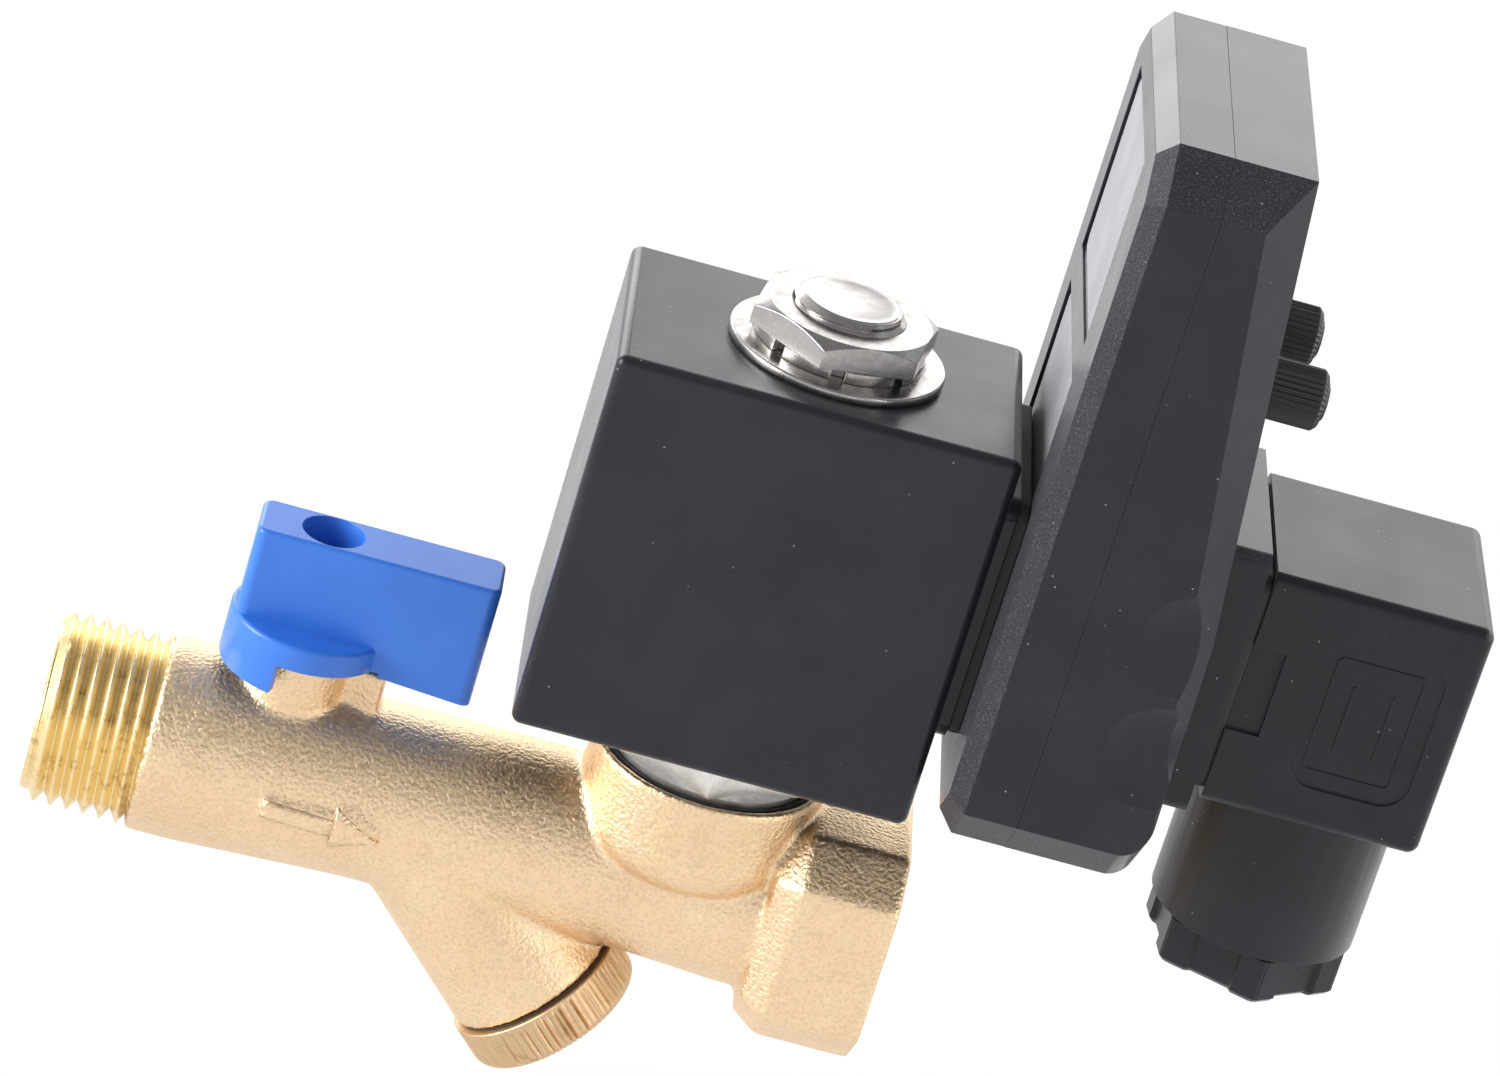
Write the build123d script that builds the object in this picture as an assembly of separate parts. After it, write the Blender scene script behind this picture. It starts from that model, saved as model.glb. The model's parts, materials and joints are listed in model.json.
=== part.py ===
from build123d import *
import math
import os

# Automatic drain valve: a brass body with a ball valve, a Y strainer and a direct-acting solenoid
# valve, with a timer and a cable plug fastened to the coil.  Millimetres.
# The origin is the centre of the inlet thread's shoulder.  +X runs along the body to the outlet,
# +Z runs up along the solenoid, and +Y is the far side.

# ---------------------------------------------------------------- clearances
RUN = 0.05            # radial clearance of running fits
FIT = 0.03            # clearance of pieces that are pushed or screwed together
REST = 0.02           # lift of a sealing face off its seat
AIR = 0.3             # gap between plain pieces that move past each other

# ---------------------------------------------------------------- brass body
THREAD_R = 10.4775    # G1/2 male thread, outer radius
THREAD_LENGTH = 12.2
THREAD_CHAMFER = 1.3
INLET_BARREL_R = 10.75
INLET_BARREL_LENGTH = 5.0
INLET_BARREL_TAPER = 18.0
MIDDLE_BARREL_R = 9.9
MIDDLE_BARREL_END = 55.0
OUTLET_BARREL_R = 10.5
OUTLET_BARREL_X = 65.0  # where the slow widening from the middle barrel ends
BODY_END = 81.5       # outlet face, from the inlet thread's shoulder
PASSAGE_R = 3.9
OUTLET_PASSAGE_R = 6.0
OUTLET_TAP_R = 9.3    # G1/2 female thread, inner radius
OUTLET_TAP_LENGTH = 12.0
OCTAGON_FLATS = 25.4
OCTAGON_LENGTH = 13.6
OCTAGON_CORNER = 4.6  # leg of the 45 degree corner faces
OCTAGON_SLOPE = 1.9   # run-in from the barrel: drop of the slope and its length along X
OCTAGON_SLOPE_LENGTH = 3.0
ARROW_X = 13.2        # cast arrow: start of the shaft, start of the head and tip
ARROW_HEAD_X = 21.6
ARROW_TIP_X = 26.4
ARROW_HALF_SHAFT = 1.15
ARROW_HALF_HEAD = 2.3
ARROW_RAISE = 0.5

# ---------------------------------------------------------------- ball valve
STEM_X = 13.0         # axis of ball, stem and handle
BALL_R = 7.0
BALL_BORE_R = 4.5
BALL_CAVITY_R = 7.6
SEAT_FAR = 8.0        # back of a seat ring, from the ball's centre
SEAT_NEAR = 3.6
RETAINER_DEPTH = 4.0  # from the inlet face to the retainer
RETAINER_HEX_R = 5.6
RETAINER_HEX_DEPTH = 5.0
TANG_WIDTH = 2.8
TANG_BOTTOM = 4.8
STEM_R = 3.0
STEM_FLANGE_R = 4.0
STEM_FLANGE_BOTTOM = 7.7
STEM_FLANGE_TOP = 9.0
STEM_GROOVE_R = 2.1
STEM_GROOVE_Z = 11.4
STEM_RING_WIRE_R = 0.44
STEM_FLAT = 2.2       # half distance between the stem's two drive flats
STEM_TOP = 20.0
NECK_R = 5.6
NECK_TOP = 15.4
LUG_REACH = 9.7       # stop lug, from the stem's axis
LUG_HALF_ANGLE = 15.5
LUG_TOP = 14.7
LUG_BOTTOM = 9.0

# ---------------------------------------------------------------- handle
COLLAR_R = 8.55
COLLAR_BOTTOM = 15.7
COLLAR_TOP = 18.4
SKIRT_BOTTOM = 12.3
SKIRT_WALL = 1.5
WINDOW_START = -106.0  # skirt opening that the stop lug travels in, degrees about the stem
WINDOW_END = 16.0
LEVER_WIDTH = 7.9
LEVER_BACK = 7.9      # from the stem's axis to the blunt end
LEVER_REACH = 18.7    # from the stem's axis to the tip
LEVER_TOP = 28.6
LEVER_BOTTOM = 15.2
LEVER_TIP_BOTTOM = 14.5
LEVER_WELL_R = 3.45
LEVER_WELL_FLOOR = 21.4
HANDLE_SCREW_R = 1.45
HANDLE_SCREW_HEAD_R = 2.8
HANDLE_SCREW_HEAD = 1.9
HANDLE_SCREW_LENGTH = 8.0

# ---------------------------------------------------------------- strainer
STRAINER_X = 29.6     # where the branch axis crosses the body axis
STRAINER_ANGLE = 45.0
BRANCH_R = 9.15       # at the crossing
BRANCH_END_R = 9.5    # at the cap
BRANCH_END = 24.2     # measured along the branch from the crossing
CHAMBER_R = 7.1
SCREEN_R = 5.6
SCREEN_WALL = 0.5
SCREEN_SEAT_DEPTH = 3.0
CAP_THREAD_R = 8.3
CAP_THREAD_LENGTH = 7.0
CAP_POCKET_DEPTH = 1.0
CAP_R = 10.0
CAP_HEIGHT = 5.3
CAP_ROUND = 1.4
GASKET_THICKNESS = 0.3
GASKET_R = 9.2

# ---------------------------------------------------------------- solenoid valve
SOLENOID_X = 58.2
BOSS_R = 12.9
BOSS_TOP = 15.0
BOSS_BOTTOM = 2.6
BOSS_ROUND = 4.4
BOSS_RECESS_R = 12.0
BOSS_RECESS = 1.2
VALVE_CHAMBER_R = 7.4
VALVE_FLOOR = 5.0
NOZZLE_R = 3.8
NOZZLE_TOP = 6.6
ORIFICE_R = 2.0
RISER_R = 1.6
RISER_OFFSET = 5.7
SPIGOT_R = 8.55
SPIGOT_BOTTOM = 8.5
TUBE_R = 6.1
TUBE_WALL = 0.6
TUBE_HEX_FLATS = 20.0
TUBE_FLANGE_R = 11.0
TUBE_FLANGE_HEIGHT = 1.5
TUBE_SINK = 1.5       # from the coil's top down to the end of the thin tube
TUBE_PROUD = 6.5      # from the coil's top up to the end of the threaded core
PLUNGER_BOTTOM = 7.1
PLUNGER_TOP = 41.0
PLUNGER_SEAL_R = 3.2
PLUNGER_SEAL_HEIGHT = 1.8
STROKE = 3.0
SPRING_BORE_R = 2.4
SPRING_BORE_DEPTH = 11.0
SPRING_R = 1.9
SPRING_WIRE_R = 0.3
SPRING_TURNS = 6
SHADING_RING_R = 4.2
SHADING_RING_WALL = 0.9
SHADING_RING_HEIGHT = 1.2

# ---------------------------------------------------------------- coil
COIL_LEFT = 22.6      # from the solenoid's axis
COIL_RIGHT = 20.5
COIL_WIDTH = 30.1
COIL_BOTTOM = 19.65
COIL_TOP = 63.5
COIL_ROUND = 1.1
YOKE_HALF_LENGTH = 16.0
YOKE_HALF_WIDTH = 9.0
YOKE_PLATE = 2.0
YOKE_MARGIN = 2.4     # resin between the yoke and the top and bottom faces
BOBBIN_R = 12.8
BOBBIN_WALL = 0.9
BOBBIN_FLANGE = 1.2
WINDING_R = 12.0
WASHER_R = 11.65
WASHER_THICKNESS = 1.1
LOCK_WASHER_R = 9.2
LOCK_WASHER_THICKNESS = 1.3
COIL_NUT_FLATS = 18.0
COIL_NUT_HEIGHT = 2.9

# ---------------------------------------------------------------- connector pattern, form A
CONNECTOR_Z = 44.5    # axis of the long screw
CONTACT_PITCH = 18.0
BLADE_WIDTH = 6.3
BLADE_THICKNESS = 0.8
BLADE_REACH = 7.5     # length of a blade past its gasket
BLADE_ROOT = 3.6
GASKET_SQUARE = 27.6
COIL_PAD_HEIGHT = 1.1
COIL_PAD_SQUARE = 28.4
COIL_GASKET_THICKNESS = 1.3
PLUG_GASKET_THICKNESS = 1.2
INSERT_R = 2.6
INSERT_LENGTH = 3.8
LONG_SCREW_R = 1.5
LONG_SCREW_HEAD_R = 3.0
LONG_SCREW_HEAD = 2.4
SCREW_RING_THICKNESS = 0.8

# ---------------------------------------------------------------- timer
TIMER_WIDTH = 46.5
TIMER_BOTTOM = 22.3
TIMER_TOP = 103.3
TIMER_CORNER = 5.0
TIMER_WALL = 2.0
BASE_DEPTH = 7.65
BASE_BEVEL_X = 2.1
BASE_BEVEL = 1.9
COVER_DEPTH = 13.65   # where the cover is thickest
COVER_THIN = 8.7      # at the top
COVER_KNEE_Z = 52.0
SIDE_BEVEL = 4.8      # facet along the cover's long edges, at the top
SIDE_BEVEL_END_Z = 30.0
GRIP_R = 10.0
GRIP_BITE = 1.1
GRIP_PITCH = 13.4
GRIP_TOP_Z = 54.0
FOOT_ROUND = 3.0      # round of the cover's lower front edge
PEDESTAL_SQUARE = 28.4
PEDESTAL_TOP_Z = 60.3
PEDESTAL_BOTTOM_Z = 29.3
PEDESTAL_DEPTH = 4.0
PEDESTAL_ROUND = 1.5
PANEL_RECESS = 0.5
PANEL_HALF_WIDTH = 13.2
PANEL_OFFSET_Y = 2.1
PANEL_STATIONS = ((76.3, 97.6), (48.0, 72.3))
BOARD_THICKNESS = 1.6
BOARD_MARGIN = 1.2
KNOB_DROP = 27.1      # from the timer's top to the knobs
KNOB_SPACING = 16.0
KNOB_R = 3.3
KNOB_PROUD = 6.4
KNOB_STEM_R = 1.9
KNOB_STEM_SINK = 3.0
POT_SIZE = 9.5
POT_DEPTH = 5.0
BUTTON_DROP = 13.3    # from the timer's top to the test button
BUTTON_R = 2.6
BUTTON_PROUD = 1.0
BUTTON_TRAVEL = 0.8
BUTTON_FLANGE_R = 3.4
SOCKET_LENGTH = 6.0
SWITCH_SIZE = 6.0
SWITCH_HEIGHT = 3.2
LAMP_R = 1.5
LAMP_PROUD = 0.7

# ---------------------------------------------------------------- plug
PLUG_WIDTH = 26.3
PLUG_DEPTH = 23.8
PLUG_BOTTOM = 30.8
PLUG_TOP = 58.2
PLUG_WALL = 1.8
PLUG_ROUND = 1.3
INSERT_BLOCK_SQUARE = 20.0
INSERT_BLOCK_DEPTH = 12.5
NOTCH_WIDTH = 3.6
NOTCH_LOW_Z = 39.8
NOTCH_HIGH_Z = 49.8
NOTCH_DEPTH = 0.5
FRAME_X = (7.6, 20.6)  # shallow panel on the plug's front side, from the plug's seat
FRAME_Z = (35.6, 53.0)
FRAME_DEPTH = 0.3
FRAME_CORNER = 3.0
GLAND_OFFSET = 11.6   # from the plug's front face to the gland axis
GLAND_R = 11.35
GLAND_BOTTOM = 13.6
GLAND_BORE_R = 8.6
GLAND_NUT_BOTTOM = 8.0
GLAND_NUT_R = 10.9
GLAND_NUT_MOUTH_R = 5.4
GLAND_NUT_SPIGOT = 4.5
GLAND_NUT_BITE = 0.9
GLAND_WASHER_THICKNESS = 1.0
GROMMET_LENGTH = 10.0
CABLE_R = 3.75

# ---------------------------------------------------------------- places that follow
SEAT_END_X = STEM_X + SEAT_FAR
RETAINER_END_X = STEM_X - SEAT_FAR
RETAINER_X = RETAINER_DEPTH - THREAD_LENGTH
OCTAGON_X = BODY_END - OCTAGON_LENGTH
TUBE_SHOULDER = COIL_TOP - TUBE_SINK
TUBE_TOP = COIL_TOP + TUBE_PROUD
KNOB_Z = TIMER_TOP - KNOB_DROP
BUTTON_Z = TIMER_TOP - BUTTON_DROP
CORE_BOTTOM = PLUNGER_TOP + STROKE + 0.1
TUBE_BORE_R = TUBE_R - TUBE_WALL
FLANGE_BOTTOM = BOSS_TOP - BOSS_RECESS
HEX_BOTTOM = FLANGE_BOTTOM + TUBE_FLANGE_HEIGHT
COIL_FACE_X = SOLENOID_X + COIL_RIGHT
COIL_PAD_X = COIL_FACE_X + COIL_PAD_HEIGHT
TIMER_X = COIL_PAD_X + COIL_GASKET_THICKNESS
SEAM_X = TIMER_X + BASE_DEPTH
COVER_X = SEAM_X + COVER_DEPTH
COVER_TOP_X = SEAM_X + COVER_THIN
PEDESTAL_X = COVER_X + PEDESTAL_DEPTH
PLUG_X = PEDESTAL_X + PLUG_GASKET_THICKNESS
PLUG_END_X = PLUG_X + PLUG_DEPTH
GLAND_X = PLUG_X + GLAND_OFFSET
BOARD_X = SEAM_X + BOARD_MARGIN
BOARD_END_X = BOARD_X + BOARD_THICKNESS
HEAD_BOTTOM_X = PLUG_END_X - LONG_SCREW_HEAD - 0.4
BRANCH = Plane(
    origin=(STRAINER_X, 0, 0),
    x_dir=(0, 1, 0),
    z_dir=(math.cos(math.radians(STRAINER_ANGLE)), 0, -math.sin(math.radians(STRAINER_ANGLE))),
)
CAP_SEAT = BRANCH_END + GASKET_THICKNESS


# ---------------------------------------------------------------- shape helpers
def rod_z(radius, low, high, x=0.0, y=0.0):
    return Pos(x, y, (low + high) / 2) * Cylinder(radius, high - low)


def rod_x(radius, low, high, y=0.0, z=0.0):
    return Pos((low + high) / 2, y, z) * Rot(0, 90, 0) * Cylinder(radius, high - low)


def tube_z(outer, inner, low, high, x=0.0, y=0.0):
    return rod_z(outer, low, high, x, y) - rod_z(inner, low, high, x, y)


def tube_x(outer, inner, low, high, y=0.0, z=0.0):
    return rod_x(outer, low, high, y, z) - rod_x(inner, low, high, y, z)


def block(x, y, z):
    """A box given by its (low, high) pairs."""
    size = (x[1] - x[0], y[1] - y[0], z[1] - z[0])
    return Pos((x[0] + x[1]) / 2, (y[0] + y[1]) / 2, (z[0] + z[1]) / 2) * Box(*size)


def square_x(side, low, high, z=CONNECTOR_Z):
    """A square bar along X, centred on y = 0."""
    return block((low, high), (-side / 2, side / 2), (z - side / 2, z + side / 2))


def hexagon_z(flats, low, high, x=0.0, turn=0.0):
    outline = RegularPolygon(flats / 2, 6, major_radius=False, rotation=turn)
    return Pos(x, 0, low) * extrude(outline, high - low)


def double_d(radius, half_flat, low, high, x):
    flat = block((x - radius, x + radius), (-half_flat, half_flat), (low, high))
    return rod_z(radius, low, high, x) & flat


def on_branch(shape):
    return BRANCH.location * shape


def sector(inner, outer, low, high, start, end):
    """Part of a ring about Z between two angles in degrees."""
    with BuildSketch() as sketch:
        with BuildLine():
            points = [
                (radius * math.cos(math.radians(angle)), radius * math.sin(math.radians(angle)))
                for radius, angle in ((inner, start), (outer, start), (inner, end), (outer, end))
            ]
            middle = math.radians((start + end) / 2)
            outer_mid = (outer * math.cos(middle), outer * math.sin(middle))
            inner_mid = (inner * math.cos(middle), inner * math.sin(middle))
            Line(points[0], points[1])
            ThreePointArc(points[1], outer_mid, points[3])
            Line(points[3], points[2])
            ThreePointArc(points[2], inner_mid, points[0])
        make_face()
    return Pos(0, 0, low) * extrude(sketch.sketch, high - low)


def connector_sites():
    """(y, z, is_upright) of the two live contacts and the earth contact."""
    half = CONTACT_PITCH / 2
    return ((-half, CONNECTOR_Z, True), (half, CONNECTOR_Z, True), (0, CONNECTOR_Z + half, False))


def contact_bar(low, high, site, width, thickness):
    y, z, upright = site
    across, up = (thickness, width) if upright else (width, thickness)
    return block((low, high), (y - across / 2, y + across / 2), (z - up / 2, z + up / 2))


# ---------------------------------------------------------------- brass body
def inlet_thread():
    thread = rod_x(THREAD_R, -THREAD_LENGTH, 0)
    return chamfer(thread.edges().group_by(Axis.X)[0], THREAD_CHAMFER)


def barrel(grow=0.0):
    """The turned outside of the body; it draws in after the inlet and widens to the outlet."""
    stations = (
        (0, INLET_BARREL_R), (INLET_BARREL_LENGTH, INLET_BARREL_R),
        (INLET_BARREL_LENGTH + INLET_BARREL_TAPER, MIDDLE_BARREL_R),
        (MIDDLE_BARREL_END, MIDDLE_BARREL_R), (OUTLET_BARREL_X, OUTLET_BARREL_R),
        (OCTAGON_X + 1, OUTLET_BARREL_R),
    )
    profile = [(0, 0)] + [(x, radius + grow) for x, radius in stations] + [(OCTAGON_X + 1, 0)]
    with BuildSketch(Plane.XZ) as sketch:
        with BuildLine():
            Polyline(*profile, close=True)
        make_face()
    return revolve(sketch.sketch, Axis.X)


def neck():
    shape = rod_z(NECK_R, 0, NECK_TOP, STEM_X)
    lug = sector(NECK_R - 1, LUG_REACH, LUG_BOTTOM - 3, LUG_TOP, -LUG_HALF_ANGLE, LUG_HALF_ANGLE)
    return shape + Pos(STEM_X, 0, 0) * lug


def branch_pipe():
    cone = Cone(BRANCH_R, BRANCH_END_R, BRANCH_END)
    return on_branch(Pos(0, 0, BRANCH_END / 2) * cone)


def boss():
    shape = rod_z(BOSS_R, BOSS_BOTTOM, BOSS_TOP, SOLENOID_X)
    return fillet(shape.edges().group_by(Axis.Z)[0], BOSS_ROUND)


def outlet_octagon():
    half = OCTAGON_FLATS / 2
    shape = block((OCTAGON_X, BODY_END), (-half, half), (-half, half))
    shape = chamfer(shape.edges().filter_by(Axis.X), OCTAGON_CORNER)
    inner = shape.faces().sort_by(Axis.X)[0]
    return chamfer(inner.edges(), OCTAGON_SLOPE, OCTAGON_SLOPE_LENGTH, reference=inner)


def ball_chamber():
    bore = rod_x(BALL_CAVITY_R, -THREAD_LENGTH - 1, SEAT_END_X)
    flange_room = rod_z(STEM_FLANGE_R + RUN, 0, STEM_FLANGE_TOP + RUN, STEM_X)
    return bore + flange_room + rod_z(STEM_R + RUN, 0, NECK_TOP + 1, STEM_X)


def strainer_chamber():
    inlet = rod_x(PASSAGE_R, SEAT_END_X - 1, STRAINER_X + 2 * PASSAGE_R)
    inlet -= on_branch(rod_z(BALL_CAVITY_R * 2, 0, BRANCH_END))
    seat = rod_z(SCREEN_R + FIT, 0, SCREEN_SEAT_DEPTH)
    room = rod_z(CHAMBER_R, SCREEN_SEAT_DEPTH, BRANCH_END)
    tap = rod_z(CAP_THREAD_R + RUN, BRANCH_END - CAP_THREAD_LENGTH - 1, BRANCH_END + 1)
    return inlet + on_branch(seat + room + tap)


def valve_chamber():
    riser_x = SOLENOID_X - RISER_OFFSET
    start = STRAINER_X + CHAMBER_R / math.sin(math.radians(STRAINER_ANGLE))
    feed = rod_x(PASSAGE_R, start - 1.5, riser_x + RISER_R)
    feed += rod_z(RISER_R, 0, VALVE_FLOOR + 0.5, riser_x)
    room = rod_z(VALVE_CHAMBER_R, VALVE_FLOOR, SPIGOT_BOTTOM, SOLENOID_X)
    room -= rod_z(NOZZLE_R, VALVE_FLOOR, NOZZLE_TOP, SOLENOID_X)
    room += rod_z(SPIGOT_R + FIT, SPIGOT_BOTTOM - FIT, BOSS_TOP + 1, SOLENOID_X)
    room += rod_z(BOSS_RECESS_R, FLANGE_BOTTOM, BOSS_TOP + 1, SOLENOID_X)
    drain = rod_z(ORIFICE_R, 0, NOZZLE_TOP + 1, SOLENOID_X)
    drain += rod_x(OUTLET_PASSAGE_R, SOLENOID_X - ORIFICE_R, OCTAGON_X + 1)
    side = (-BOSS_R, BOSS_R)
    drain -= block((0, OCTAGON_X), side, (VALVE_FLOOR - 1.2, BOSS_TOP)) - rod_z(
        ORIFICE_R, 0, NOZZLE_TOP + 1, SOLENOID_X
    )
    tap = rod_x(OUTLET_TAP_R, BODY_END - OUTLET_TAP_LENGTH, BODY_END + 1)
    return feed + room + drain + tap


def flow_arrow():
    """Raised arrow cast on the barrel's front, pointing to the outlet."""
    upper = (
        (ARROW_X, ARROW_HALF_SHAFT), (ARROW_HEAD_X, ARROW_HALF_SHAFT),
        (ARROW_HEAD_X, ARROW_HALF_HEAD), (ARROW_TIP_X, 0),
    )
    lower = [(x, -z) for x, z in reversed(upper[:-1])]
    with BuildSketch(Plane.XZ) as sketch:
        with BuildLine():
            Polyline(*upper, *lower, close=True)
        make_face()
    prism = extrude(sketch.sketch, 2 * INLET_BARREL_R)
    return prism & barrel(ARROW_RAISE)


def valve_body():
    casting = inlet_thread() + barrel() + neck() + branch_pipe() + boss() + outlet_octagon()
    casting += flow_arrow()
    return casting - ball_chamber() - strainer_chamber() - valve_chamber()


# ---------------------------------------------------------------- ball valve pieces
def ball():
    shape = Pos(STEM_X, 0, 0) * Sphere(BALL_R)
    shape -= rod_x(BALL_BORE_R, STEM_X - BALL_R, STEM_X + BALL_R)
    half = TANG_WIDTH / 2 + RUN
    slot = block((STEM_X - BALL_R, STEM_X + BALL_R), (-half, half), (TANG_BOTTOM - RUN, BALL_R))
    return shape - slot


def ball_seat_inlet():
    """PTFE seat ring, hollowed to the ball."""
    ring = tube_x(BALL_CAVITY_R - FIT, BALL_BORE_R, STEM_X - SEAT_FAR, STEM_X - SEAT_NEAR)
    return ring - Pos(STEM_X, 0, 0) * Sphere(BALL_R + RUN)


def ball_seat_outlet():
    return mirror(ball_seat_inlet(), about=Plane.YZ.offset(STEM_X))


def ball_retainer():
    shape = tube_x(BALL_CAVITY_R - FIT, BALL_BORE_R, RETAINER_X, RETAINER_END_X)
    socket = extrude(RegularPolygon(RETAINER_HEX_R, 6), RETAINER_HEX_DEPTH)
    return shape - Pos(RETAINER_X, 0, 0) * Rot(0, 90, 0) * socket


def ball_stem():
    half = TANG_WIDTH / 2
    tang = block((STEM_X - 3.2, STEM_X + 3.2), (-half, half), (TANG_BOTTOM, STEM_FLANGE_TOP))
    flange = rod_z(STEM_FLANGE_R, STEM_FLANGE_BOTTOM, STEM_FLANGE_TOP, STEM_X)
    shaft = rod_z(STEM_R, STEM_FLANGE_BOTTOM, NECK_TOP, STEM_X)
    drive = double_d(STEM_R, STEM_FLAT, NECK_TOP - 0.1, STEM_TOP, STEM_X)
    half_groove = STEM_RING_WIRE_R + RUN
    groove = tube_z(STEM_R + 1, STEM_GROOVE_R, STEM_GROOVE_Z - half_groove,
                    STEM_GROOVE_Z + half_groove, STEM_X)
    tap = rod_z(HANDLE_SCREW_R + FIT, STEM_TOP - HANDLE_SCREW_LENGTH, STEM_TOP + 1, STEM_X)
    return tang + flange + shaft + drive - groove - tap


def stem_o_ring():
    middle = STEM_GROOVE_R + FIT + STEM_RING_WIRE_R
    return Pos(STEM_X, 0, STEM_GROOVE_Z) * Torus(middle, STEM_RING_WIRE_R)


# ---------------------------------------------------------------- handle
def lever():
    """The flat lever, a side profile with a slightly dropped tip, softened all round."""
    back, tip = STEM_X - LEVER_BACK, STEM_X + LEVER_REACH
    with BuildSketch(Plane.XZ) as sketch:
        with BuildLine():
            Polyline(
                (back, COLLAR_BOTTOM), (back, LEVER_TOP), (tip, LEVER_TOP),
                (tip, LEVER_TIP_BOTTOM), (STEM_X + COLLAR_R, LEVER_BOTTOM),
                (STEM_X + COLLAR_R, COLLAR_BOTTOM), close=True,
            )
        make_face()
    shape = extrude(sketch.sketch, LEVER_WIDTH / 2, both=True)
    ends = shape.edges().filter_by(Axis.Z).group_by(Axis.X)
    shape = fillet(ends[0] + ends[-1], 1.2)
    top = shape.edges().group_by(Axis.Z)[-1]
    return fillet(top, 0.5)


def ball_handle():
    collar = rod_z(COLLAR_R, COLLAR_BOTTOM, COLLAR_TOP, STEM_X)
    collar = fillet(collar.edges().group_by(Axis.Z)[-1], 0.5)
    skirt = sector(COLLAR_R - SKIRT_WALL, COLLAR_R, SKIRT_BOTTOM, COLLAR_BOTTOM,
                   WINDOW_END, WINDOW_START + 360)
    shape = collar + Pos(STEM_X, 0, 0) * skirt + lever()
    shape -= double_d(STEM_R + FIT, STEM_FLAT + FIT, 0, STEM_TOP + FIT, STEM_X)
    shape -= rod_z(HANDLE_SCREW_R + 0.15, STEM_TOP, LEVER_WELL_FLOOR, STEM_X)
    return shape - rod_z(LEVER_WELL_R, LEVER_WELL_FLOOR, LEVER_TOP + 1, STEM_X)


def handle_screw():
    head_top = LEVER_WELL_FLOOR + HANDLE_SCREW_HEAD
    head = rod_z(HANDLE_SCREW_HEAD_R, LEVER_WELL_FLOOR, head_top, STEM_X)
    head = fillet(head.edges().group_by(Axis.Z)[-1], 0.8)
    shank = rod_z(HANDLE_SCREW_R, STEM_TOP - HANDLE_SCREW_LENGTH + 1, LEVER_WELL_FLOOR, STEM_X)
    cross = block((-1.5, 1.5), (-0.35, 0.35), (0, 1)) + block((-0.35, 0.35), (-1.5, 1.5), (0, 1))
    return head + shank - Pos(STEM_X, 0, head_top - 1) * cross


# ---------------------------------------------------------------- strainer pieces
def strainer_screen():
    low, high = REST, CAP_SEAT + CAP_POCKET_DEPTH - REST
    return on_branch(tube_z(SCREEN_R, SCREEN_R - SCREEN_WALL, low, high))


def strainer_cap():
    rim = rod_z(CAP_R, CAP_SEAT, CAP_SEAT + CAP_HEIGHT)
    rim = fillet(rim.edges().group_by(Axis.Z)[-1], CAP_ROUND)
    plug = rod_z(CAP_THREAD_R, BRANCH_END - CAP_THREAD_LENGTH, CAP_SEAT)
    pocket = rod_z(SCREEN_R + RUN, BRANCH_END - CAP_THREAD_LENGTH, CAP_SEAT + CAP_POCKET_DEPTH)
    return on_branch(rim + plug - pocket)


def strainer_gasket():
    return on_branch(tube_z(GASKET_R, CAP_THREAD_R + RUN, BRANCH_END, CAP_SEAT))


# ---------------------------------------------------------------- solenoid pieces
def armature_tube():
    spigot = rod_z(SPIGOT_R, SPIGOT_BOTTOM, FLANGE_BOTTOM, SOLENOID_X)
    flange = rod_z(TUBE_FLANGE_R, FLANGE_BOTTOM, HEX_BOTTOM, SOLENOID_X)
    hexagon = hexagon_z(TUBE_HEX_FLATS, HEX_BOTTOM, COIL_BOTTOM, SOLENOID_X, 30)
    tube = rod_z(TUBE_R, COIL_BOTTOM, TUBE_SHOULDER, SOLENOID_X)
    bore = rod_z(TUBE_BORE_R, SPIGOT_BOTTOM, TUBE_SHOULDER, SOLENOID_X)
    return spigot + flange + hexagon + tube - bore


def tube_o_ring():
    wire = (BOSS_RECESS_R - TUBE_FLANGE_R) / 2 - FIT
    middle = (BOSS_RECESS_R + TUBE_FLANGE_R) / 2
    return Pos(SOLENOID_X, 0, FLANGE_BOTTOM + wire) * Torus(middle, wire)


def fixed_core():
    pole = rod_z(TUBE_BORE_R - FIT, CORE_BOTTOM, TUBE_SHOULDER, SOLENOID_X)
    end = rod_z(TUBE_R, TUBE_SHOULDER, TUBE_TOP, SOLENOID_X)
    end = chamfer(end.edges().group_by(Axis.Z)[-1], 0.6)
    groove = tube_z(SHADING_RING_R, SHADING_RING_R - SHADING_RING_WALL, CORE_BOTTOM,
                    CORE_BOTTOM + SHADING_RING_HEIGHT, SOLENOID_X)
    return pole + end - groove


def shading_ring():
    return tube_z(SHADING_RING_R - FIT, SHADING_RING_R - SHADING_RING_WALL + FIT,
                  CORE_BOTTOM, CORE_BOTTOM + SHADING_RING_HEIGHT, SOLENOID_X)


def plunger():
    shape = rod_z(TUBE_BORE_R - RUN, PLUNGER_BOTTOM, PLUNGER_TOP, SOLENOID_X)
    shape = chamfer(shape.edges().group_by(Axis.Z)[0], 0.8)
    shape -= rod_z(SPRING_BORE_R, PLUNGER_TOP - SPRING_BORE_DEPTH, PLUNGER_TOP, SOLENOID_X)
    seal_top = NOZZLE_TOP + REST + PLUNGER_SEAL_HEIGHT
    return shape - rod_z(PLUNGER_SEAL_R, PLUNGER_BOTTOM, seal_top, SOLENOID_X)


def plunger_seal():
    bottom = NOZZLE_TOP + REST
    return rod_z(PLUNGER_SEAL_R - FIT, bottom, bottom + PLUNGER_SEAL_HEIGHT, SOLENOID_X)


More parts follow.
